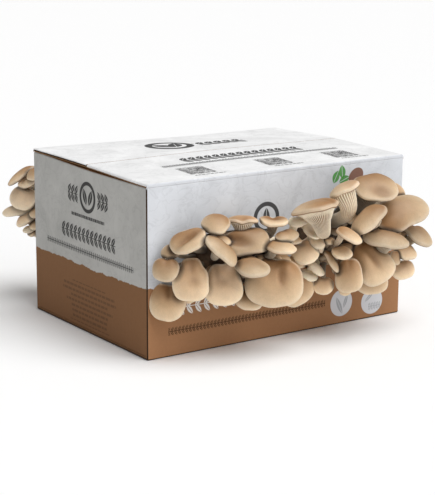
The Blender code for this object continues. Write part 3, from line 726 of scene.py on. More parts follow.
def dash_mark():
    """Rows of dashes of uneven length."""
    node, given, finish, turned = mark_start("dash_mark", {
        "Half length": 60.0, "Half height": 3.0, "Row pitch": 6.0, "Line": 1.2, "Dash": 9.0})
    x, y, _ = node("SeparateXYZ", turned).outputs
    lines = node("Math DIVIDE", y, given["Row pitch"])
    number = node("Math ROUND", lines)
    from_line = node("Math MULTIPLY", node("Math SUBTRACT", lines, number), given["Row pitch"])
    on_line = node("Math LESS_THAN", node("Math ABSOLUTE", from_line), given["Line"])
    shift = node("Math MULTIPLY_ADD", number, ROW_SHIFT, node("Math DIVIDE", x, given["Dash"]))
    words = node("TexVoronoi", {"W": shift, "Scale": 1.0, "Randomness": 0.9},
                 voronoi_dimensions="1D", feature="DISTANCE_TO_EDGE")
    dash = node("Math GREATER_THAN", words, HALF_GAP)
    chance = node("TexWhiteNoise", {"W": number}, noise_dimensions="1D")
    reach = node("Math MULTIPLY", node("MapRange", chance, 0.0, 1.0, 0.6, 1.0), given["Half length"])
    in_row = node("Math LESS_THAN", node("Math ABSOLUTE", x), reach)
    in_block = node("Math LESS_THAN", node("Math ABSOLUTE", y), given["Half height"])
    first = node("Math MULTIPLY", on_line, dash)
    finish([node("Math MULTIPLY", first, node("Math MULTIPLY", in_row, in_block))])


def dot_mark():
    """A square patch of dots of uneven size."""
    node, given, finish, turned = mark_start("dot_mark", {"Half size": 18.0, "Pitch": 3.0})
    grid = node("VectorMath SCALE", turned, node("Math DIVIDE", 1.0, given["Pitch"]))
    cell = node("VectorMath FLOOR", node("VectorMath ADD", grid, (0.5, 0.5, 0.5)))
    away = node("VectorMath MULTIPLY", node("VectorMath SUBTRACT", grid, cell), (1, 1, 0))
    chance = node("TexWhiteNoise", {"Vector": cell}, noise_dimensions="2D")
    radius = node("MapRange", chance, 0.0, 1.0, 0.3, 0.62)
    dot = node("Math LESS_THAN", node("VectorMath LENGTH", away), radius)
    x, y, _ = node("SeparateXYZ", node("VectorMath ABSOLUTE", turned)).outputs
    inside = node("Math LESS_THAN", node("Math MAXIMUM", x, y), given["Half size"])
    finish([node("Math MULTIPLY", dot, inside)])


# What is printed where: ink, kind of mark, middle, turn, and sizes in the order of the mark's inputs
LONG_SIDE_MARKS = [
    ("dark", "ring", (-22, 138), 0, (15, 2.4)), ("dark", "leaf", (-22, 138), 90, (11, 4.5)),
    ("leaf", "leaf", (75, 173), 62, (8, 4.8)), ("leaf", "leaf", (84, 178), 95, (8, 4.8)),
    ("leaf", "leaf", (87, 169), 20, (8, 4.6)), ("bark", "ring", (104, 171), 35, (5.8, 5.8, 1.3)),
    ("white", "sprig", (-45, 53), 0, (90, 11, 6.5, 2.6)),
    ("deep", "sprig", (-43, 28), 0, (106, 4.6, 3.4, 1.3)),
    ("pale", "ring", (87, 25), 0, (8, 8)), ("grey", "leaf", (84, 22), 115, (12, 3)),
    ("grey", "leaf", (93, 26), 70, (9, 2.2)), ("pale", "ring", (133, 20), 0, (8, 8, 1.05)),
    ("grey", "sprig", (137, 14), 0, (9, 4, 3.6, 1.2)), ("grey", "leaf", (129, 26), 40, (9, 2)),
]
END_MARKS = [
    ("dark", "ring", (2, 156), 0, (15.5, 2.1)), ("dark", "leaf", (-4, 156), 112, (10, 4.2)),
    ("dark", "leaf", (8, 156), 68, (10, 4.2)), ("dark", "sprig", (-31, 156), 0, (11, 8, 7.4, 3)),
    ("dark", "sprig", (35, 156), 180, (11, 8, 7.4, 3)), ("dark", "dash", (2, 133), 0, (44, 3, 9, 1.8, 3.2)),
    ("dark", "sprig", (2, 112), 0, (60, 9.2, 6.4, 2.9)), ("dark", "sprig", (2, 93), 0, (96, 4.2, 2.8, 1.2)),
    ("shade", "dash", (2, 32), 0, (62, 24, 6, 1.4, 8)),
]
FLAP_MARKS = [
    ("dark", "ring", (-30, 58), 0, (25, 4.5)), ("dark", "leaf", (-38, 58), 115, (17, 8.5)),
    ("dark", "leaf", (-22, 58), 65, (17, 8.5)), ("dark", "sprig", (37, 50), 0, (34, 13, 10, 5)),
    ("dark", "sprig", (8, -36), 0, (82, 11, 8, 4.2)), ("dark", "sprig", (10, -55), 0, (122, 4.4, 3.2, 1.6)),
    *(("dark", "dot", (x, -86), 0, (17, 3.4)) for x in (-88, 16, 111)),
    *(("dark", "dash", at, 0, (24, 2, 6, 1.2, 5)) for at in ((-84, -109), (22, -108), (117, -108))),
]


def panel_place(node, panel):
    """A panel's own coordinates in millimetres, read left to right from outside, the object's own as
    one vector, and its Y and Z."""
    mm = node("VectorMath SCALE", node("TexCoord").outputs["Object"], 1 / MM)
    x, y, z = node("SeparateXYZ", mm).outputs
    if panel == "flap":
        return node("CombineXYZ", x, y), mm, y, z
    run, depth = (x, y) if panel == "long_side" else (y, x)
    hand = node("Math SIGN", depth)
    if panel == "long_side":
        hand = node("Math MULTIPLY", hand, -1.0)
    return node("CombineXYZ", node("Math MULTIPLY", run, hand), z), mm, y, z


def surface(node, shader, colour, roughness, shine, relief, strength, depth):
    """Feed a shader with a colour, how rough and shiny it is, and a relief with its depth in metres."""
    shader({"Base Color": colour, "Roughness": roughness, "Specular IOR Level": shine,
            "Normal": node("Bump", {"Height": relief, "Strength": strength, "Distance": depth})})


def printed_board(name, panel, marks, sizes):
    """Flexo print on white-lined corrugated board: a pale, faintly marbled upper part, a brown band
    with a ragged upper edge, and matt ink. The flutes show through as a faint washboard."""
    made, node, shader = new_material(name)
    place, mm, y, z = panel_place(node, panel)

    # Faint clouds 40 mm wide and thin veins in the ground, which over a flap's crease turns into that
    # of the long sides
    clouds = node("TexNoise", {"Vector": mm, "Scale": 1 / 40, "Detail": 5.0, "Roughness": 0.6,
                               "Distortion": 0.6})
    veins = node("TexNoise", {"Vector": mm, "Scale": 1 / 22, "Detail": 6.0, "Roughness": 0.55,
                              "Distortion": 1.2})
    near = node("Math ABSOLUTE", node("Math SUBTRACT", veins, 0.5))
    tone = node("Math SUBTRACT", node("MapRange", clouds, 0.3, 0.7, 0.88, 1.05),
                node("MapRange", near, 0.0, 0.03, 0.09, 0.0))
    turned = node("MapRange", node("Math ABSOLUTE", y), HALF_Y - 1.6, HALF_Y - 0.4, 0.0,
                  float(panel == "flap"))
    # Each panel's ground: painted shade on the ends, painted light on the flaps
    ground = {"flap": sizes.top_ink_lit, "end": sizes.end_ink_shaded, "long_side": sizes.pale_ink}[panel]
    ground = node("Mix", turned, rgba(ground), rgba(sizes.pale_ink), **COLOURS)
    colour = node("Mix", 1.0, ground, tone, **TINTED)

    # The brown band, its edge ragged over 20 mm, by 6 mm at most
    if panel != "flap":
        ragged = node("TexNoise", {"Vector": mm, "Scale": 1 / 20, "Detail": 6.0, "Roughness": 0.62})
        height = node("Math ADD", z, node("MapRange", ragged, 0.0, 1.0, -6.0, 6.0))
        edge = sizes.band_height / MM
        band = node("MapRange", height, edge - 0.4, edge + 0.4, 1.0, 0.0)
        grain = node("TexNoise", {"Vector": mm, "Scale": 1 / 3, "Detail": 4.0, "Roughness": 0.7})
        # The band on the ends is painted darker as shade
        ink = sizes.end_brown_shaded if panel == "end" else sizes.brown_ink
        brown = node("Mix", 1.0, rgba(ink), node("MapRange", grain, 0.0, 1.0, 0.9, 1.08), **TINTED)
        colour = node("Mix", band, colour, brown, **COLOURS)

    # The marks, ink by ink
    inks = {"shade": tuple(0.45 * c for c in sizes.brown_ink),
            "deep": tuple(0.14 * c for c in sizes.brown_ink),
            "bark": linear("#7D5038"),
            "grey": tuple(0.55 * c for c in sizes.pale_ink)}
    for ink, kind, middle, turn, lengths in marks:
        mark = node("Group", {"Place": place, "Middle": (*middle, 0), "Turn": radians(-turn)},
                    node_tree=bpy.data.node_groups[kind + "_mark"])
        for socket, length in zip(mark.inputs[3:], lengths):
            socket.default_value = length
        tint = inks.get(ink) or getattr(sizes, ink + "_ink")
        colour = node("Mix", node("Math MULTIPLY", mark, INK_COVER), colour, rgba(tint), **COLOURS)

    # The flutes under the liner, far too shallow to cast a shadow
    across = node("SeparateXYZ", place).outputs[0]
    ridge = node("Math SINE", node("Math MULTIPLY", across, tau / (sizes.flute_pitch / MM)))
    fine = node("TexNoise", {"Vector": mm, "Scale": 1 / 1.5, "Detail": 3.0})
    relief = node("Math MULTIPLY_ADD", ridge, 0.35, fine)
    surface(node, shader, colour, 0.75, 0.15, relief, 0.12, 0.0004)
    return made


def kraft_board(name, tint):
    """Bare brown kraft paper: matt, with short fibres that show as light and dark flecks."""
    made, node, shader = new_material(name)
    place = node("TexCoord").outputs["Object"]
    stretch = node("Mapping", {"Vector": place, "Scale": (400, 400, 90)})
    fibres = node("TexNoise", {"Vector": stretch, "Scale": 1.0, "Detail": 4.0, "Roughness": 0.7})
    clouds = node("TexNoise", {"Vector": place, "Scale": 25.0})
    tone = node("MapRange", node("Math ADD", fibres, clouds), 0.7, 1.3, 0.72, 1.12)
    colour = node("Mix", 1.0, rgba(tint), tone, **TINTED)
    surface(node, shader, colour, 0.8, 0.2, fibres, 0.25, 0.0003)
    return made


def straw_block():
    """Pressed straw and sawdust grown through with mycelium: a felt of white threads over tan straw."""
    made, node, shader = new_material("mycelium_straw")
    place = node("TexCoord").outputs["Object"]
    straws = node("Mapping", {"Vector": place, "Scale": (60, 260, 260)})
    chips = node("TexVoronoi", {"Vector": straws, "Scale": 1.0, "Randomness": 1.0})
    felt = node("TexNoise", {"Vector": place, "Scale": 45.0, "Detail": 8.0, "Roughness": 0.7})
    cover = node("MapRange", felt, 0.38, 0.58)
    straw = node("ValToRGB", chips)
    for element, code in zip(straw.color_ramp.elements, ("#6E5130", "#B99662")):
        element.color = rgba(linear(code))
    colour = node("Mix", cover, straw, rgba(linear("#E9E2D2")), **COLOURS)
    surface(node, shader, colour, 0.95, 0.1, felt, 0.6, 0.002)
    return made


def end_tree(node, given, finish, geometry):
    """The end of a geometry tree: smooth faces, real instances and the material."""
    real = node("GeometryNodeRealizeInstances", node("GeometryNodeSetShadeSmooth", geometry))
    finish([node("GeometryNodeSetMaterial", {"Geometry": real, "Material": given["Material"]})])


def flutes_tree():
    """The corrugated middle of the board: a flat sheet bent into waves along X, or along Y."""
    node, given, finish = group_tree("flutes", "GeometryNodeTree", {
        "Geometry": None, "Pitch": 0.0075, "Height": 0.001, "Along Y": False, "Material": None}, "Geometry")
    x, y, _ = node("SeparateXYZ", node("GeometryNodeInputPosition")).outputs
    run = node("GeometryNodeSwitch", given["Along Y"], x, y, input_type="FLOAT")
    turns = node("Math DIVIDE", run, given["Pitch"])
    wave = node("Math SINE", node("Math MULTIPLY", turns, tau))
    shift = node("CombineXYZ", 0.0, 0.0, node("Math MULTIPLY", wave, given["Height"]))
    end_tree(node, given, finish,
             node("GeometryNodeSetPosition", {"Geometry": given["Geometry"], "Offset": shift}))
    return bpy.data.node_groups["flutes"]


# The carton

def spanned(side, first, second):
    """Two places on one side of the middle, the lower one first."""
    return sorted((side * first, side * second))


def level(x, y):
    """The lift of a flat layer."""
    return 0.0


def corner_rise(x, y):
    """How far the rim stands up towards the corner at the left of the back, in millimetres."""
    return CORNER_RISE * ease(RISE_START[0], -HALF_X, x) * ease(RISE_START[1], HALF_Y, y)


def wall_ring(half_x, half_y, radius, z, bulge=0.0):
    """The carton's outline at one height: four walls that stand out a little, and rounded corners."""
    points = []
    rise = max(0.0, 1 - ((z - RIM / 2) / (RIM / 2)) ** 2)
    centres = [np.array([side_x * (half_x - radius), side_y * (half_y - radius)])
               for side_x, side_y in ((1, 1), (-1, 1), (-1, -1), (1, -1))]
    for number, centre in enumerate(centres):
        for angle in number * pi / 2 + np.linspace(0, pi / 2, CORNER_STEPS):
            points.append(centre + radius * np.array([cos(angle), sin(angle)]))
        target = centres[(number + 1) % 4]
        outward = np.array([cos((number + 1) * pi / 2), sin((number + 1) * pi / 2)])
        for share in np.linspace(0, 1, WALL_STEPS)[1:-1]:
            stand = bulge * rise * (1 - (2 * share - 1) ** 2)
            points.append(centre * (1 - share) + target * share + outward * (radius + stand))
    near_rim = ease(RIM - RISE_HEIGHT, RIM, z)
    return np.array([(x, y, z + near_rim * corner_rise(x, y)) for x, y in points])


def wall_mesh(sizes):
    """Walls and floor as one open-topped body, rounded at its folded edges."""
    board, radius, bulge = sizes.board / MM, sizes.crease / MM, sizes.bulge / MM
    quarter = np.linspace(0, pi / 2, EDGE_STEPS)
    rings = []
    for turn in quarter:
        inset = radius * (1 - sin(turn))
        rings.append(wall_ring(HALF_X - inset, HALF_Y - inset, radius, radius * (1 - cos(turn))))
    for z in (radius + 0.1, END_FOOT, END_FOOT + 0.1):
        rings.append(wall_ring(HALF_X, HALF_Y, radius, z))
    for z in np.linspace(radius, RIM - radius, WALL_RINGS)[1:-1]:
        rings.append(wall_ring(HALF_X, HALF_Y, radius, z, bulge))
    for turn in quarter:
        inset = radius * (1 - cos(turn))
        rings.append(wall_ring(HALF_X - inset, HALF_Y - LONG_RIM_INSET * inset, radius,
                               RIM - radius * (1 - sin(turn))))
    floor = 2 * board
    for z in (RIM, 0.5 * RIM, floor):
        rings.append(wall_ring(HALF_X - board, HALF_Y - board, radius * INNER_CREASE, z))
    return lofted("carton_walls", rings, start=(0, 0, 0), end=(0, 0, floor))


def wall_finish(mesh, board):
    """Print outside, bare kraft inside, and raw board at the foot and in the cut joints, coloured dark as
    painted shade.
    """
    for face in mesh.polygons:
        if face.material_index > 1:
            continue
        middle, normal = face.center / MM, face.normal
        outside_x = abs(middle.x) > HALF_X - board / 2 and abs(normal.x) > 0.5
        outside_y = abs(middle.y) > HALF_Y - board / 2 and abs(normal.y) > 0.5
        outside_y = outside_y or (abs(middle.y) > HALF_Y - RIM_PRINT[0] and middle.z > RIM - RIM_PRINT[1])
        # The foot takes the dark cut-edge colour, painted shade at the bottom
        foot = middle.z < (END_FOOT if outside_x else SIDE_FOOT)
        face.material_index = 3 if foot else 0 if outside_y else 1 if outside_x else 2


def layer_mesh(name, low, high, runs, crossings, lift, along_y=False):
    """One flat layer of board between two heights, bent by a lift that depends on the place."""
    rings = []
    for run in runs:
        places = [(crossing, run) if along_y else (run, crossing) for crossing in crossings]
        rings.append([(x, y, high + lift(x, y)) for x, y in places]
                     + [(x, y, low + lift(x, y)) for x, y in places[::-1]])
    return lofted(name, rings)


def flat_layer(low, high, run_x, run_y, lift, finish):
    """One flat liner."""
    mesh = layer_mesh("liner", low, high, np.linspace(*run_x, LAYER_STEPS),
                      np.linspace(*run_y, CROSS_STEPS), lift)
    return add_piece("liner", mesh, finish)


def fluted_sheet(run_x, run_y, middle, sizes, tree, finish, lift, along_y=False):
    """The waved paper between two liners."""
    run, crossing = (run_y, run_x) if along_y else (run_x, run_y)
    columns = int(round((run[1] - run[0]) / (sizes.flute_pitch / MM))) * FLUTE_STEPS + 1
    mesh = layer_mesh("flutes", middle - HALF_PAPER, middle + HALF_PAPER, np.linspace(*run, columns),
                      np.linspace(*crossing, CROSS_STEPS), lift, along_y)
    wave = (sizes.board / 2 - sizes.liner) * FLUTE_FIT
    return shaped(add_piece("flutes", mesh, finish), tree,
                  {"Pitch": sizes.flute_pitch, "Height": wave, "Along Y": along_y, "Material": finish})


def long_flap_liner(side, sizes, lift, print_finish, kraft):
    """The printed outer liner, which folds up from the wall over the crease."""
    liner, radius, fold = sizes.liner / MM, sizes.crease / MM, END_FOLD[side]
    quarter = np.linspace(0, pi / 2, FOLD_STEPS)
    outer = [(0.0, RIM + FLAP_GAP)]
    for turn in quarter:
        outer.append((radius * (1 - cos(turn)), FLAP_TOP - radius + radius * sin(turn)))
    for reach in np.linspace(radius, HALF_Y - FLAP_EDGE, 12)[1:]:
        outer.append((reach, FLAP_TOP))
    inner = [(reach + liner * (1 if reach < radius else 0), z - liner * (0 if reach < 0.3 * radius else 1))
             for reach, z in outer[::-1]]
    inner[-1] = (liner, RIM + FLAP_GAP)
    rings = []
    ends = HALF_X - fold + fold * np.sin(quarter)
    for x in [*-ends[::-1], *np.linspace(-HALF_X + fold, HALF_X - fold, LAYER_STEPS)[1:-1], *ends]:
        ring = []
        out = max(0.0, (abs(x) - HALF_X + fold) / fold)
        for reach, z in outer + inner:
            y = side * (HALF_Y - reach)
            ring.append((x, y, z + lift(x, y) - fold * (1 - sqrt(max(0.0, 1 - out * out)))))
        rings.append(ring)
    mesh = lofted("skin", rings)
    for face in mesh.polygons:
        middle = face.center / MM
        reach = HALF_Y - side * middle.y
        folded = face.normal.x * middle.x > 0.3 * HALF_X and middle.z > FLAP_TOP - fold
        outside = face.normal.z > 0.35 or (reach < 0.2 * radius and side * face.normal.y > 0.5)
        face.material_index = 0 if outside or folded else 1
    return add_piece("skin", mesh, print_finish, kraft)


class KIT_OT_carton(bpy.types.Operator):
    """Build the carton's walls, floor and short flaps"""
    bl_idname = "kit.carton"
    bl_label = "Carton"

    def execute(self, context):
        for build in (leaf_mark, ring_mark, sprig_mark, dash_mark, dot_mark):
            build()
        sizes = context.scene.kit_carton
        board, liner = sizes.board / MM, sizes.liner / MM
        long_print = printed_board("printed_board_long_side", "long_side", LONG_SIDE_MARKS, sizes)
        end_print = printed_board("printed_board_end", "end", END_MARKS, sizes)
        kraft = kraft_board("kraft_paper_board", sizes.kraft)
        # Kraft made dark as painted shade, for cut edges, the joints and the foot
        shaded_raw = kraft_board("cut_corrugated_edge", sizes.shaded_cut_edge)
        walls = add_piece("carton_walls", wall_mesh(sizes), long_print, end_print, kraft, shaded_raw)
        cut(walls, self.cutters(board, kraft, shaded_raw))
        wall_finish(walls.data, board)
        walls.data.shade_smooth()
        walls.data.set_sharp_from_angle(angle=radians(35))
        settle(walls, KIT, "printed_board", "carton")

        flutes = flutes_tree()
        top, under = RIM - LINER_PLAY, RIM - board
        run_y = (-HALF_Y + board + SHORT_FLAP_PLAY, HALF_Y - board - SHORT_FLAP_PLAY)
        for side, label in ((-1, "left"), (1, "right")):
            run_x = spanned(side, HALF_X - board + SHORT_FLAP_REACH, SHORT_FLAP_END)
            flap = joined("carton_short_flap_" + label, [
                flat_layer(top - liner, top, run_x, run_y, level, kraft),
                flat_layer(under, under + liner, run_x, run_y, level, kraft),
                fluted_sheet(run_x, run_y, (top + under) / 2, sizes, flutes, kraft, level, along_y=True)])
            settle(flap, KIT, "printed_board")
        return {"FINISHED"}

    def cutters(self, board, kraft, shaded_raw):
        """What is cut from the walls: the openings, the floor's seam, its folds and the upright joints."""
        half_w, half_h = OPENING["width"] / 2, OPENING["height"] / 2
        made = []
        for cluster in CLUSTERS.values():
            x, z, face = cluster["x"], cluster["z"], cluster["side"] * HALF_Y
            made.append(block("cut_opening", (x - half_w, face - 3 * board, z - half_h),
                              (x + half_w, face + 3 * board, z + half_h), kraft, OPENING["rounding"]))
        made.append(block("cut_seam", (-HALF_X - 1, -HALF_SEAM, -1), (HALF_X + 1, HALF_SEAM, board), kraft))
        for side in (-1, 1):
            low, high = spanned(side, HALF_X - FOLD_DEPTH, HALF_X + 2)
            made.append(block("cut_fold", (low, -HALF_Y + FOLD_END, board),
                              (high, HALF_Y - FOLD_END, board + FOLD_HEIGHT), kraft))
        for side in (-1, 1):
            corners = zip(spanned(side, HALF_X + 1, HALF_X - JOINT_SIZE[0]),
                          spanned(side, HALF_Y + 1, HALF_Y - JOINT_SIZE[1]), (JOINT_START, RIM - 1))
            # The joints take the dark cut-edge colour, painted shade in the groove
            made.append(block("cut_joint", *corners, shaded_raw))
        return made


class KIT_OT_flaps(bpy.types.Operator):
    """Build the two long top flaps"""
    bl_idname = "kit.flaps"
    bl_label = "Long flaps"

    def execute(self, context):
        sizes = context.scene.kit_carton
        flap_print = printed_board("printed_board_flap", "flap", FLAP_MARKS, sizes)
        kraft = bpy.data.materials["kraft_paper_board"]
        shaded_raw = bpy.data.materials["cut_corrugated_edge"]
        flutes = bpy.data.node_groups["flutes"]
        rise, low = sizes.flap_rise / MM, FLAP_UNDER + LINER_PLAY
        even, waved = LIFT_SHARES
        cut_inset, crease_inset, free_inset = FLUTE_INSETS
        for name, side in (("flap_front", -1), ("flap_back", 1)):

            def lift(x, y, side=side):
                free = ease(HALF_Y, 0.0, side * y)
                return rise * free * (even + waved * cos(x / LIFT_WAVE)) + corner_rise(x, y)

            flap = joined(name + "_board", [
                long_flap_liner(side, sizes, lift, flap_print, kraft),
                flat_layer(low, low + sizes.liner / MM, (-HALF_X, HALF_X),
                           spanned(side, HALF_Y - LINER_START, FLAP_EDGE), lift, kraft),
                # The flutes take the dark cut-edge colour, painted shade at the cut ends
                fluted_sheet((-HALF_X + cut_inset, HALF_X - cut_inset),
                             spanned(side, HALF_Y - crease_inset, FLAP_EDGE + free_inset),
                             (FLAP_UNDER + FLAP_TOP) / 2, sizes, flutes, shaded_raw, lift)])
            flap.data.set_sharp_from_angle(angle=radians(40))
            settle(flap, name, "printed_board", name)
        return {"FINISHED"}


class KIT_OT_block(bpy.types.Operator):
    """Build the substrate block"""
    bl_idname = "kit.block"
    bl_label = "Substrate block"

    def execute(self, context):
        middle, half = (BLOCK_LOW + BLOCK_HIGH) / 2, (BLOCK_HIGH - BLOCK_LOW) / 2
        inner = np.array(half) - BLOCK_ROUNDING
        around = np.linspace(0, tau, BLOCK_STEPS, endpoint=False)
        rings = []
        for turn in np.linspace(-pi / 2, pi / 2, BLOCK_RINGS)[1:-1]:
            direction = np.stack([np.cos(turn) * np.cos(around), np.cos(turn) * np.sin(around),
                                  np.full_like(around, np.sin(turn))], axis=1)
            reach = (np.abs(direction / inner) ** BLOCK_POWER).sum(axis=1) ** (-1 / BLOCK_POWER)
            rings.append(np.array(middle) + direction * reach[:, None]
                         + direction * BLOCK_ROUNDING * BLOCK_FILL)
        pole = Vector((0, 0, half.z - 1))
        mesh = lofted("substrate_block_straw", rings, start=middle - pole, end=middle + pole)
        mesh.shade_smooth()
        piece = add_piece("substrate_block_straw", mesh, straw_block())
        settle(piece, KIT, "substrate", "substrate_block")
        return {"FINISHED"}


def oyster_flesh(looks):
    """Fresh oyster mushroom: a satin tan skin, paler towards the free margin, with painted shade
    in its hollows and faint fibres running out from the stem. Gills and stem are matt cream, with
    painted shade deep in the cluster, and the skin has painted shade where caps lie over each
    other. The flesh lets a little light through."""
    made, node, shader = new_material("oyster_mushroom_flesh")
    notes = {label: node("Attribute", attribute_name=label).outputs["Fac"]
             for label in ("top", "rim", "hollow", "fore", "stem", "fold", "tone", "deep", "touch")}
    around = node("Attribute", attribute_name="around").outputs["Vector"]
    place = node("TexCoord").outputs["Object"]

    # Blotches about 11 mm wide, fibres 2 to 3 mm apart, and specks of 1 mm
    blotches = node("TexNoise", {"Vector": place, "Scale": 90.0, "Detail": 4.0, "Roughness": 0.6})
    fibres = node("Mapping", {"Vector": around, "Scale": (14.0, 14.0, 2.0)})
    streaks = node("TexNoise", {"Vector": fibres, "Scale": 1.0, "Detail": 3.0})
    specks = node("TexNoise", {"Vector": place, "Scale": 900.0, "Detail": 2.0})

    # The skin of the cap, browner in its middle and over the stem
    way = node("SeparateXYZ", around).outputs[2]
    forward = node("Math MULTIPLY", node("MapRange", notes["fore"], 0.05, 0.8, **SOFT),
                   node("MapRange", way, 0.04, 0.24, 0.5, **SOFT))
    slope = node("Mix", forward, rgba(looks.back), rgba(looks.cap), **COLOURS)
    # Painted shade in the cap's hollows, darker the deeper they are
    hollow = node("Math MULTIPLY", notes["hollow"], 0.6)
    dark = node("Mix", hollow, slope, rgba(looks.hollow), **COLOURS)
    near_rim = node("Math MAXIMUM", node("MapRange", notes["rim"], 0.0, 1.0, 0.0, 0.75, **SOFT),
                    node("MapRange", way, 0.18, 0.265, 0.0, 0.5, **SOFT))
    skin = node("Mix", near_rim, dark, rgba(looks.rim), **COLOURS)
    # Painted shade on the skin deep in the cluster
    hidden_shade = node("Math POWER", notes["deep"], 4.0)
    skin = node("Mix", node("Math MULTIPLY", hidden_shade, 0.5), skin, rgba(looks.deep), **COLOURS)

    # The gills and the stem
    in_fold = node("MapRange", notes["fold"], 0.0, 0.5, 0.0, 1.0)
    gills = node("Mix", in_fold, rgba(looks.gill_depth), rgba(looks.gills), **COLOURS)
    under = node("Mix", node("MapRange", notes["stem"], 0.0, 0.6), gills, rgba(looks.stem), **COLOURS)
    # Painted shade on the gills and stem deep in the cluster
    cluster_shade = node("Math MULTIPLY", notes["deep"], 0.92)
    inner = node("Mix", cluster_shade, under, rgba(looks.deep), **COLOURS)
    whole = node("Mix", node("MapRange", notes["top"], 0.1, 0.6, **SOFT), inner, skin, **COLOURS)
    # Painted shade where another cap stands close over the skin
    contact_shaded = node("MapRange", notes["touch"], 0.15, 0.9, 0.0, 0.85, **SOFT)
    whole = node("Mix", contact_shaded, whole, rgba(looks.deep), **COLOURS)

    # Paler and browner caps, and small changes of tone
    # Tone holds part painted light; high tones are mixed towards the margin colour
    pale = node("MapRange", notes["tone"], 1.05, 1.9)
    whole = node("Mix", pale, whole, rgba(looks.rim), **COLOURS)
    tone = node("Math MINIMUM", notes["tone"], 1.15)
    for value, *limits in ((blotches, 0.3, 0.7, 0.92, 1.06), (streaks, 0.3, 0.7, 0.97, 1.02),
                           (specks, 0.35, 0.65, 0.97, 1.03)):
        tone = node("Math MULTIPLY", tone, node("MapRange", value, *limits))
    relief = node("Math ADD", streaks, specks)
    colour = node("Mix", 1.0, whole, tone, clamp_result=True, **TINTED)
    roughness = node("MapRange", notes["top"], 0.0, 1.0, 0.8, 0.5)
    surface(node, shader, colour, roughness, 0.35, relief, 0.1, 0.0005)
    shader({"Subsurface Weight": 0.08, "Subsurface Radius": (1.0, 0.55, 0.3), "Subsurface Scale": 0.003})
    return made


def base_flesh(looks):
    """The grown-together foot of a cluster, all in painted shade: dull dark flesh mottled with lighter
    brown.
    """
    made, node, shader = new_material("mushroom_base_flesh")
    shade_mottle = node("TexNoise", {"Vector": node("TexCoord").outputs["Object"], "Scale": 70.0, "Detail": 6.0,
                               "Roughness": 0.65})
    mixed = node("MapRange", shade_mottle, 0.35, 0.65)
    # Painted shade: the deep colour mottled with a lighter brown, for the dark heart of the cluster
    colour = node("Mix", mixed, rgba(looks.deep), rgba(linear("#7A6148")), **COLOURS)
    surface(node, shader, colour, 0.8, 0.5, shade_mottle, 0.5, 0.0015)
    shader({"Subsurface Weight": 0.1, "Subsurface Scale": 0.003})
    return made


def gills_tree():
    """Raises the gills under a cap, long ones and short ones in turn, and lays soft lumps in the skin."""
    node, given, finish = group_tree("gills", "GeometryNodeTree", {
        "Geometry": None, "Gill Height": 0.002, "Unevenness": 0.001, "Lump Size": 0.016, "Seed": 0.0,
        "Material": None}, "Geometry")
    turn = node("GeometryNodeInputNamedAttribute", {"Name": "turn"}, data_type="FLOAT")
    wave = node("Math COSINE", node("Math MULTIPLY", turn, pi))
    folds = []
    for label, source in (("long_gill", wave), ("short_gill", node("Math MULTIPLY", wave, -1.0))):
        weight = node("GeometryNodeInputNamedAttribute", {"Name": label}, data_type="FLOAT")
        folds.append(node("Math MULTIPLY", node("Math MAXIMUM", source, 0.0), weight))
    fold = node("Math ADD", *folds)
    stored = node("GeometryNodeStoreNamedAttribute",
                  {"Geometry": given["Geometry"], "Name": "fold", "Value": fold},
                  data_type="FLOAT", domain="POINT")
    gill = node("Math MULTIPLY", fold, given["Gill Height"])
    size = node("Math DIVIDE", 1.0, given["Lump Size"])
    noise = node("TexNoise", {"Vector": node("GeometryNodeInputPosition"), "W": given["Seed"],
                              "Scale": size, "Detail": 2.0}, noise_dimensions="4D")
    lump = node("MapRange", noise, 0.0, 1.0, -0.5, 0.5)
    uneven = node("Math MULTIPLY_ADD", lump, given["Unevenness"], gill)
    shift = node("VectorMath SCALE", node("GeometryNodeInputNormal"), uneven)
    end_tree(node, given, finish, node("GeometryNodeSetPosition", {"Geometry": stored, "Offset": shift}))
    return bpy.data.node_groups["gills"]


# The form of one mushroom, in millimetres

def half_sizes(form):
    """Half a cap's width and length, and their mean."""
    half_width, half_length = form["width"] / 2, form["length"] / 2
    return half_width, half_length, (half_width + half_length) / 2


def cap_axes(form):
    """Across, front and outward directions of a cap."""
    azimuth, elevation, spin = np.radians([form["azimuth"], form["elevation"], form["spin"]])
    outward = np.array([np.sin(azimuth) * np.cos(elevation),
                        -np.cos(azimuth) * np.cos(elevation), np.sin(elevation)])
    sideways = unit(np.cross([0.0, 0.0, 1.0], outward))
    downhill = np.cross(sideways, outward)
    front = np.cos(spin) * downhill + np.sin(spin) * sideways
    return np.cross(front, outward), front, outward


def cap_outline(form, angles, chance):
    """The cap's edge: a squarish oval, narrower at the stem, notched over it, a little uneven."""
    half_width, half_length, _ = half_sizes(form)
    power = form["square"]
    reach = (np.abs(np.cos(angles) / half_length) ** power
             + np.abs(np.sin(angles) / half_width) ** power) ** (-1.0 / power)
    from_back = pi - np.abs((angles + pi) % (2 * pi) - pi)
    reach = reach * (1 - form["notch"] * np.exp(-(from_back / NOTCH_SPREAD) ** 2))
    reach = reach * (1 - form["pinch"] * np.exp(-((from_back - PINCH_AT) / PINCH_SPREAD) ** 2))
    reach = reach * (1 + form["wave"] * np.sin(WAVES * angles + form["wave_turn"]))
    for waves, size in UNEVEN_EDGE:
        reach = reach * (1 + size * np.sin(waves * angles + chance.uniform(0, tau)))
    front = reach * np.cos(angles)
    return reach * np.sin(angles) * (1 + form["taper"] * front / half_length), front


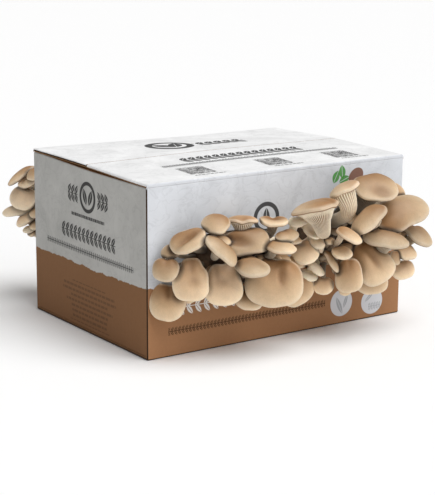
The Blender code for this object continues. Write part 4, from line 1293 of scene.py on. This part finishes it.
def cap_hollows(form, across, front):
    """How deep the cap's hollows are and how high its humps, in millimetres."""
    half_width, half_length, radius = half_sizes(form)
    dish_front = DISH_AT * half_length
    spread = 2 * (DISH_SPREAD * radius) ** 2
    down = form["dish"] * radius * np.exp(-(across ** 2 + (front - dish_front) ** 2) / spread)
    back = ease(BACK_START * half_length, -half_length, front)
    down = down + form["trough"] * radius * back * np.exp(-(across / (TROUGH_SPREAD * half_width)) ** 2)
    up = form["ridge"] * radius * back * np.exp(-(across / (RIDGE_SPREAD * half_width)) ** 2)
    for middle, first, second, depth in form["dents"]:
        size = first[0] * second[1] - first[1] * second[0]
        x, y = across - middle[0], front - middle[1]
        along = (x * second[1] - y * second[0]) / size
        beside = (y * first[0] - x * first[1]) / size
        bell = np.exp(-(along ** 2 + beside ** 2))
        down = down + max(depth, 0.0) * bell
        up = up + max(-depth, 0.0) * bell
    return down, up


def cap_height(form, across, front, share):
    """How far the cap's top stands out over its middle plane."""
    half_width, half_length, radius = half_sizes(form)
    down, up = cap_hollows(form, across, front)
    height = -form["droop"] * (across / half_width) ** 2 - form["droop_front"] * (front / half_length) ** 2
    return (height - form["roll"] * share ** 4) * radius - down + up


def stem_curve(form, start, outward, root, root_out):
    """Points and directions along the stem, from under the cap to its root."""
    length = np.linalg.norm(root - start)
    knots = (start, start - outward * length * form["bend"], root + root_out * length * ROOT_PULL, root)

    def point(t):
        s = 1 - t
        return s ** 3 * knots[0] + 3 * s * s * t * knots[1] + 3 * s * t * t * knots[2] + t ** 3 * knots[3]

    def heading(t):
        s = 1 - t
        return unit(s * s * (knots[1] - knots[0]) + 2 * s * t * (knots[2] - knots[1])
                    + t * t * (knots[3] - knots[2]))

    return point, heading


def carried(vectors, before, after):
    """The vectors turned as the direction before turns into after."""
    axis = np.cross(before, after)
    size = np.linalg.norm(axis)
    if size < 1e-6:
        return vectors
    axis = axis / size
    angle = np.arctan2(size, before @ after)
    return [v * cos(angle) + np.cross(axis, v) * sin(angle) + axis * (axis @ v) * (1 - cos(angle))
            for v in vectors]


def root_of(form, cluster):
    """Where a stem meets its base, on the line from the cap to the opening."""
    heart = np.array([cluster["x"], cluster["side"] * (HALF_Y - HEART_DEPTH), cluster["z"]])
    _, half_length, radius = half_sizes(form)
    _, front_axis, outward = cap_axes(form)
    middle = np.array(form["at"], float)
    seat = middle - front_axis * form["seat"] * half_length - outward * radius * SEAT_DROP
    way = unit(seat - heart)
    reach = np.array([OPENING["width"] / 2, BASE_BULGE + HEART_DEPTH, OPENING["height"] / 2]) * ROOT_DEPTH
    return heart + way / np.linalg.norm(way / reach), way


def mushroom_mesh(name, form, cluster, pitch, chance):
    """A mushroom's closed surface, with what its finish and its gills need stored on its points."""
    root, root_out = root_of(form, cluster)
    middle = np.array(form["at"], float)
    across_axis, front_axis, outward = cap_axes(form)
    _, half_length, radius = half_sizes(form)

    # An even number of gills that fits the cap's edge
    steps = 2 * max(FEWEST_PAIRS, int(round(2 * pi * radius / pitch / 2))) * STEPS_A_GILL
    angles = np.linspace(0, tau, steps, endpoint=False)
    edge_across, edge_front = cap_outline(form, angles, chance)
    edge = form["edge"] / 2
    inset = 1 - edge * (1 - cos(MARGIN_START)) / radius
    dish_front = DISH_AT * half_length
    ripple = RIPPLE * radius * (np.sin(3 * angles + chance.uniform(0, tau))
                              + 0.6 * np.sin(5 * angles + chance.uniform(0, tau)))
    rings = []
    notes = {label: [] for label in ("top", "rim", "hollow", "fore", "stem", "long_gill", "short_gill")}

    def placed(across, front, height):
        return (middle + np.multiply.outer(across, across_axis) + np.multiply.outer(front, front_axis)
                + np.multiply.outer(height, outward))

    def note(**values):
        for label, kept in notes.items():
            kept.append(np.broadcast_to(values.get(label, 0.0), steps))

    # The top of the cap
    zero = np.zeros(1)
    dish_height = cap_height(form, zero, zero + dish_front, zero)
    pole = placed(zero, zero + dish_front, dish_height)[0]
    for share in TOP_SHARES:
        across = edge_across * share * inset
        front = dish_front + (edge_front * inset - dish_front) * share
        down, _ = cap_hollows(form, across, front)
        rings.append(placed(across, front, cap_height(form, across, front, share) + ripple * share ** 3))
        note(top=1.0, hollow=np.clip(down / HOLLOW_SHADE_DEPTH, 0, 1),
             fore=0.5 + 0.5 * front / half_length)

    # Its rounded margin
    margin = cap_height(form, edge_across * inset, edge_front * inset, 1.0) + ripple
    reach = np.hypot(edge_across, edge_front)
    for turn in MARGIN_TURNS:
        scale = inset + edge * (cos(turn) - cos(MARGIN_START)) / reach
        rings.append(placed(edge_across * scale, edge_front * scale,
                            margin + edge * (sin(turn) - sin(MARGIN_START))))
        note(top=0.5 + 0.5 * sin(turn) if turn < 0 else 1.0, rim=1 - ease(-0.4, 0.7, turn),
             fore=0.5 + 0.5 * edge_front / half_length)

    # Its gills, which run on into the stem
    stalk = form["stalk"] * form["width"]
    seat = -form["seat"] * half_length
    seat_height = min(cap_height(form, zero, zero + seat, zero)[0], dish_height[0])
    depth = form["thick"] * radius
    for share in UNDER_SHARES:
        left = 1 - share
        across = edge_across * inset * UNDER_SIZE * left + FLARE * stalk * np.sin(angles) * share
        front = edge_front * inset * UNDER_SIZE * left + (seat + FLARE * stalk * np.cos(angles)) * share
        under = cap_height(form, across, front, left) - form["edge"] * UNDER_DROP * left - depth * share
        under = under + ripple * left ** 3
        join = share ** 3
        rings.append(placed(across, front, under * (1 - join)
                            + (seat_height - depth - FLARE_HEIGHT * stalk) * join))
        full = ease(0.0, GILL_START, share)
        note(long_gill=full * (1 - LONG_GILL_FADE * share),
             short_gill=full * (1 - ease(*SHORT_GILL_END, share)))

    # The stem
    start = middle + front_axis * seat + outward * (seat_height - depth - stalk)
    point, heading = stem_curve(form, start, outward, root, root_out)
    sides = [across_axis, front_axis]
    before = -outward
    for t in STEM_SHARES:
        sides = carried(sides, before, heading(t))
        before = heading(t)
        thick = stalk * (1 - WAIST * sin(pi * min(1.0, 1.1 * t))) * form["foot"] ** t
        rings.append(point(t) + thick * (np.multiply.outer(np.sin(angles), sides[0])
                                         + np.multiply.outer(np.cos(angles), sides[1])))
        left = STEM_GILLS * (1 - ease(0.0, 0.9, t)) * min(1.0, stalk / WIDE_STEM)
        note(stem=0.15 + 0.85 * t, long_gill=left)

    # What the finish and the gills read
    mesh = lofted(name, rings, start=pole, end=root)
    down, _ = cap_hollows(form, 0.0, dish_front)
    first = {"top": 1.0, "hollow": min(1.0, down / HOLLOW_SHADE_DEPTH), "fore": 0.5 + 0.5 * DISH_AT}
    for label, kept in notes.items():
        store(mesh, label, np.concatenate(kept + [[first.get(label, 0.0)], [float(label == "stem")]]))
    store(mesh, "turn", np.concatenate([np.tile(np.arange(steps) / STEPS_A_GILL, RING_COUNT), [0, 0]]))
    store(mesh, "tone", np.full(len(mesh.vertices), form["tone"] * chance.uniform(0.9, 1.06)))
    # Painted shade deep in the cluster, from how near the flesh lies to the opening's middle, raised by the
    # cap's shade
    heart = np.array([cluster["x"], cluster["side"] * HALF_Y, cluster["z"]])
    points = np.concatenate([np.asarray(rings).reshape(-1, 3), [pole, root]])
    deep = 1 - ease(*DEEP_FADE, np.linalg.norm((points - heart) / DEEP_REACH, axis=1))
    store(mesh, "deep", deep + form["shade"] * (1 - deep))
    around = np.zeros((len(points), 3), np.float32)
    around[:-2, 0] = np.tile(np.cos(angles), RING_COUNT)
    around[:-2, 1] = np.tile(np.sin(angles), RING_COUNT)
    around[:-2, 2] = np.repeat(np.linspace(0, 1, RING_COUNT), steps)
    mesh.attributes.new("around", "FLOAT_VECTOR", "POINT").data.foreach_set("vector", around.ravel())
    return mesh


def store(mesh, label, values):
    """Keep one number for each point of a mesh."""
    mesh.attributes.new(label, "FLOAT", "POINT").data.foreach_set("value", np.asarray(values, np.float32))


def note_contact_shade(pieces):
    """Store how closely other mushrooms of the cluster stand over each point of a cap, for the painted
    shade there.
    """
    grids = []
    for piece in pieces:
        mesh = piece.data
        places, normals = np.empty((2, len(mesh.vertices) * 3), np.float32)
        mesh.vertices.foreach_get("co", places)
        mesh.vertex_normals.foreach_get("vector", normals)
        grids.append([values.reshape(-1, 3)[:-2].reshape(RING_COUNT, -1, 3)[:, ::STEPS_A_GILL].astype(float)
                      for values in (places / MM, normals)])
    near = KDTree(sum(places.shape[0] * places.shape[1] for places, _ in grids))
    for owner, (places, _) in enumerate(grids):
        for place in places.reshape(-1, 3):
            near.insert(place, owner)
    near.balance()
    for owner, (piece, (places, normals)) in enumerate(zip(pieces, grids)):
        touch = np.zeros(places.shape[:2])
        for ring, step in np.ndindex(CONTACT_SHADE_RINGS, places.shape[1]):
            place, normal = Vector(places[ring, step]), Vector(normals[ring, step])
            for other, number, gap in near.find_range(place, CONTACT_SHADE_REACH):
                if number != owner:
                    over = (other - place) @ normal / max(gap, 0.1)
                    touch[ring, step] = max(touch[ring, step], min(1.0, 2 * over) * (1 - gap / CONTACT_SHADE_REACH))
        after = np.roll(touch, -1, axis=1)
        shares = np.arange(STEPS_A_GILL) / STEPS_A_GILL
        full = touch[..., None] * (1 - shares) + after[..., None] * shares
        store(piece.data, "touch", np.concatenate([full.ravel(), [touch[0].mean(), 0.0]]))


def base_mesh(name, cluster):
    """The lumpy mound that fills an opening."""
    start = HALF_Y - BASE_START
    bulge = BASE_BULGE + HALF_Y - start
    lumps, height = BASE_LUMPS
    half_x, half_z = OPENING["width"] / 2 - BASE_PLAY, OPENING["height"] / 2 - BASE_PLAY
    angles = np.linspace(0, tau, BASE_STEPS, endpoint=False)
    square = (np.abs(np.cos(angles)) ** BASE_POWER
              + np.abs(np.sin(angles)) ** BASE_POWER) ** (-1 / BASE_POWER)

    def place(across, out, up):
        return cluster["x"] + across, cluster["side"] * (start + out * bulge), cluster["z"] + up

    rings = []
    for t in np.linspace(0, len(BASE_PROFILE) - 1, BASE_RINGS)[:-1]:
        reach, out = (np.interp(t, range(len(BASE_PROFILE)), values) for values in zip(*BASE_PROFILE))
        lump = 1 + height * np.sin(lumps * angles + cluster["x"]) * ease(*BASE_LUMP_RISE, out)
        x, y, z = place(half_x * reach * lump * square * np.cos(angles), out,
                        half_z * reach * lump * square * np.sin(angles))
        rings.append(np.stack([x, np.full_like(x, y), z], axis=1))
    return lofted(name, rings, start=place(0, 0, 0), end=place(0, 1, 0))


def young_rows(name, cluster, chance):
    """The young mushrooms of a cluster: the ones seen in its gaps, and others around its heart."""
    def drawn(label):
        return chance.uniform(*YOUNG_LIMITS[label])

    rows = [row(at, facing, 0, size, **YOUNG_SHAPE) for at, facing, size in YOUNG[name]]
    for number in range(HIDDEN_YOUNG):
        angle = tau * (number + drawn("step")) / HIDDEN_YOUNG
        x, z = drawn("x") * cos(angle), drawn("z") * sin(angle)
        out = HALF_Y + drawn("out") - 0.25 * abs(z)
        turn = degrees(atan2(x, YOUNG_FOCUS))
        azimuth = turn if cluster["side"] < 0 else 180.0 - turn
        width = drawn("width")
        rows.append(row((cluster["x"] + x, cluster["side"] * out, cluster["z"] + z),
                        (azimuth, YOUNG_TILT + z), drawn("spin"), (width, width * drawn("shape")),
                        **YOUNG_SHAPE))
    return rows


class KIT_OT_clusters(bpy.types.Operator):
    """Grow the three clusters of mushrooms from their bases"""
    bl_idname = "kit.clusters"
    bl_label = "Mushroom clusters"

    def execute(self, context):
        looks = context.scene.kit_mushrooms
        tree, flesh, foot = gills_tree(), oyster_flesh(looks), base_flesh(looks)
        chance = np.random.default_rng(looks.seed)

        def grow(label, form, cluster, pitch, gill_height, unevenness):
            piece = add_piece(label, mushroom_mesh(label, form, cluster, pitch, chance), flesh)
            return shaped(piece, tree, {"Gill Height": gill_height, "Unevenness": unevenness,
                                        "Lump Size": looks.lump_size, "Seed": chance.uniform(0, 50),
                                        "Material": flesh})

        for name, cluster in CLUSTERS.items():
            label = name + "_base_flesh"
            base = add_piece(label, base_mesh(label, cluster), foot)
            shaped(base, tree, {"Gill Height": 0.0, **BASE_SKIN, "Seed": chance.uniform(0, 50),
                                "Material": foot})
            settle(base, KIT, "base_flesh", name + "_base")
            grown = []
            for number, form in enumerate(MUSHROOMS[name], start=1):
                height = looks.gill_height * min(1.0, (form["width"] + form["length"]) / FULL_GILL_SIZE)
                grown.append(grow(f"{name}_oyster_{number:02d}", form, cluster, looks.gill_pitch / MM,
                                  height, looks.unevenness))
                settle(grown[-1], KIT, "cap_flesh", f"{name}_mushroom_{number:02d}")
            young = [grow(f"{name}_young_{number:02d}", form, cluster, YOUNG_STEPS, YOUNG_GILLS,
                          YOUNG_UNEVENNESS)
                     for number, form in enumerate(young_rows(name, cluster, chance), start=1)]
            note_contact_shade(grown + young)
            settle(joined(name + "_young", young), KIT, "cap_flesh")
        return {"FINISHED"}


class KIT_OT_stage(bpy.types.Operator):
    """Set up the floor, the camera and the light"""
    bl_idname = "kit.stage"
    bl_label = "Stage"

    def execute(self, context):
        stage = context.scene.kit_stage
        self.add_floor(stage)
        self.add_camera(context, stage)
        self.add_light(context, stage)
        return {"FINISHED"}

    def add_floor(self, stage):
        bm = bmesh.new()
        bmesh.ops.create_grid(bm, x_segments=2, y_segments=2, size=FLOOR_SIZE)
        made, _, shader = new_material("floor_paper")
        shader({"Base Color": rgba(stage.floor), "Roughness": 0.9})
        add_piece("floor", made_mesh("floor", bm), made)

    def add_camera(self, context, stage):
        forward = Vector((sin(stage.yaw) * cos(stage.pitch), cos(stage.yaw) * cos(stage.pitch),
                          sin(stage.pitch)))
        right = Vector((cos(stage.yaw), -sin(stage.yaw), 0.0))
        up = right.cross(forward)
        turned_right = cos(stage.roll) * right + sin(stage.roll) * up
        turned_up = cos(stage.roll) * up - sin(stage.roll) * right
        camera = bpy.data.objects.new("camera", bpy.data.cameras.new("camera"))
        turn = Matrix((turned_right, turned_up, -forward)).transposed()
        camera.matrix_world = Matrix.Translation(stage.camera_place) @ turn.to_4x4()
        camera.data.lens = stage.lens
        camera.data.sensor_width = SENSOR
        camera.data.clip_end = FAR_END
        context.scene.collection.objects.link(camera)
        context.scene.camera = camera

    def add_light(self, context, stage):
        for label, spread, source in LIGHTS:
            sun = bpy.data.lights.new(label, "SUN")
            sun.energy = getattr(stage, label)
            sun.angle = radians(spread)
            light = bpy.data.objects.new(label, sun)
            light.rotation_euler = Vector(source).to_track_quat("Z", "Y").to_euler()
            context.scene.collection.objects.link(light)
        world = bpy.data.worlds.new("studio")
        world.use_nodes = True
        context.scene.world = world
        context.scene.view_settings.view_transform = "Standard"
        tree = world.node_tree
        white = rgba((1.0, 1.0, 1.0))
        even = tree.nodes["Background"]
        feed(tree, even, {"Color": white, "Strength": stage.sky})
        behind = add(tree, "Background", {"Color": white, "Strength": 1.0})
        seen = add(tree, "LightPath").outputs["Is Camera Ray"]
        feed(tree, tree.nodes["World Output"], {"Surface": add(tree, "MixShader", seen, even, behind)})


class KIT_PT_panel(bpy.types.Panel):
    bl_idname = "KIT_PT_panel"
    bl_label = "Grow kit"
    bl_space_type = "VIEW_3D"
    bl_region_type = "UI"
    bl_category = "Grow kit"

    def draw(self, context):
        for operator in OPERATORS:
            self.layout.operator(operator.bl_idname)
        for group in (context.scene.kit_carton, context.scene.kit_mushrooms, context.scene.kit_stage):
            box = self.layout.box()
            for name in group.__annotations__:
                box.prop(group, name)


OPERATORS = (KIT_OT_carton, KIT_OT_flaps, KIT_OT_block, KIT_OT_clusters, KIT_OT_stage)
SETTINGS = {"kit_carton": KitCartonSettings, "kit_mushrooms": KitMushroomSettings,
            "kit_stage": KitStageSettings}


def register():
    for kind in (*SETTINGS.values(), *OPERATORS, KIT_PT_panel):
        bpy.utils.register_class(kind)
    for name, kind in SETTINGS.items():
        setattr(bpy.types.Scene, name, PointerProperty(type=kind))


def unregister():
    for name in SETTINGS:
        delattr(bpy.types.Scene, name)
    for kind in (KIT_PT_panel, *OPERATORS[::-1], *SETTINGS.values()):
        bpy.utils.unregister_class(kind)


def main():
    """Build every piece over the frame."""
    register()
    bpy.ops.kit.carton()
    bpy.ops.kit.flaps()
    bpy.ops.kit.block()
    bpy.ops.kit.clusters()
    bpy.ops.kit.stage()


if __name__ == "__main__":
    main()
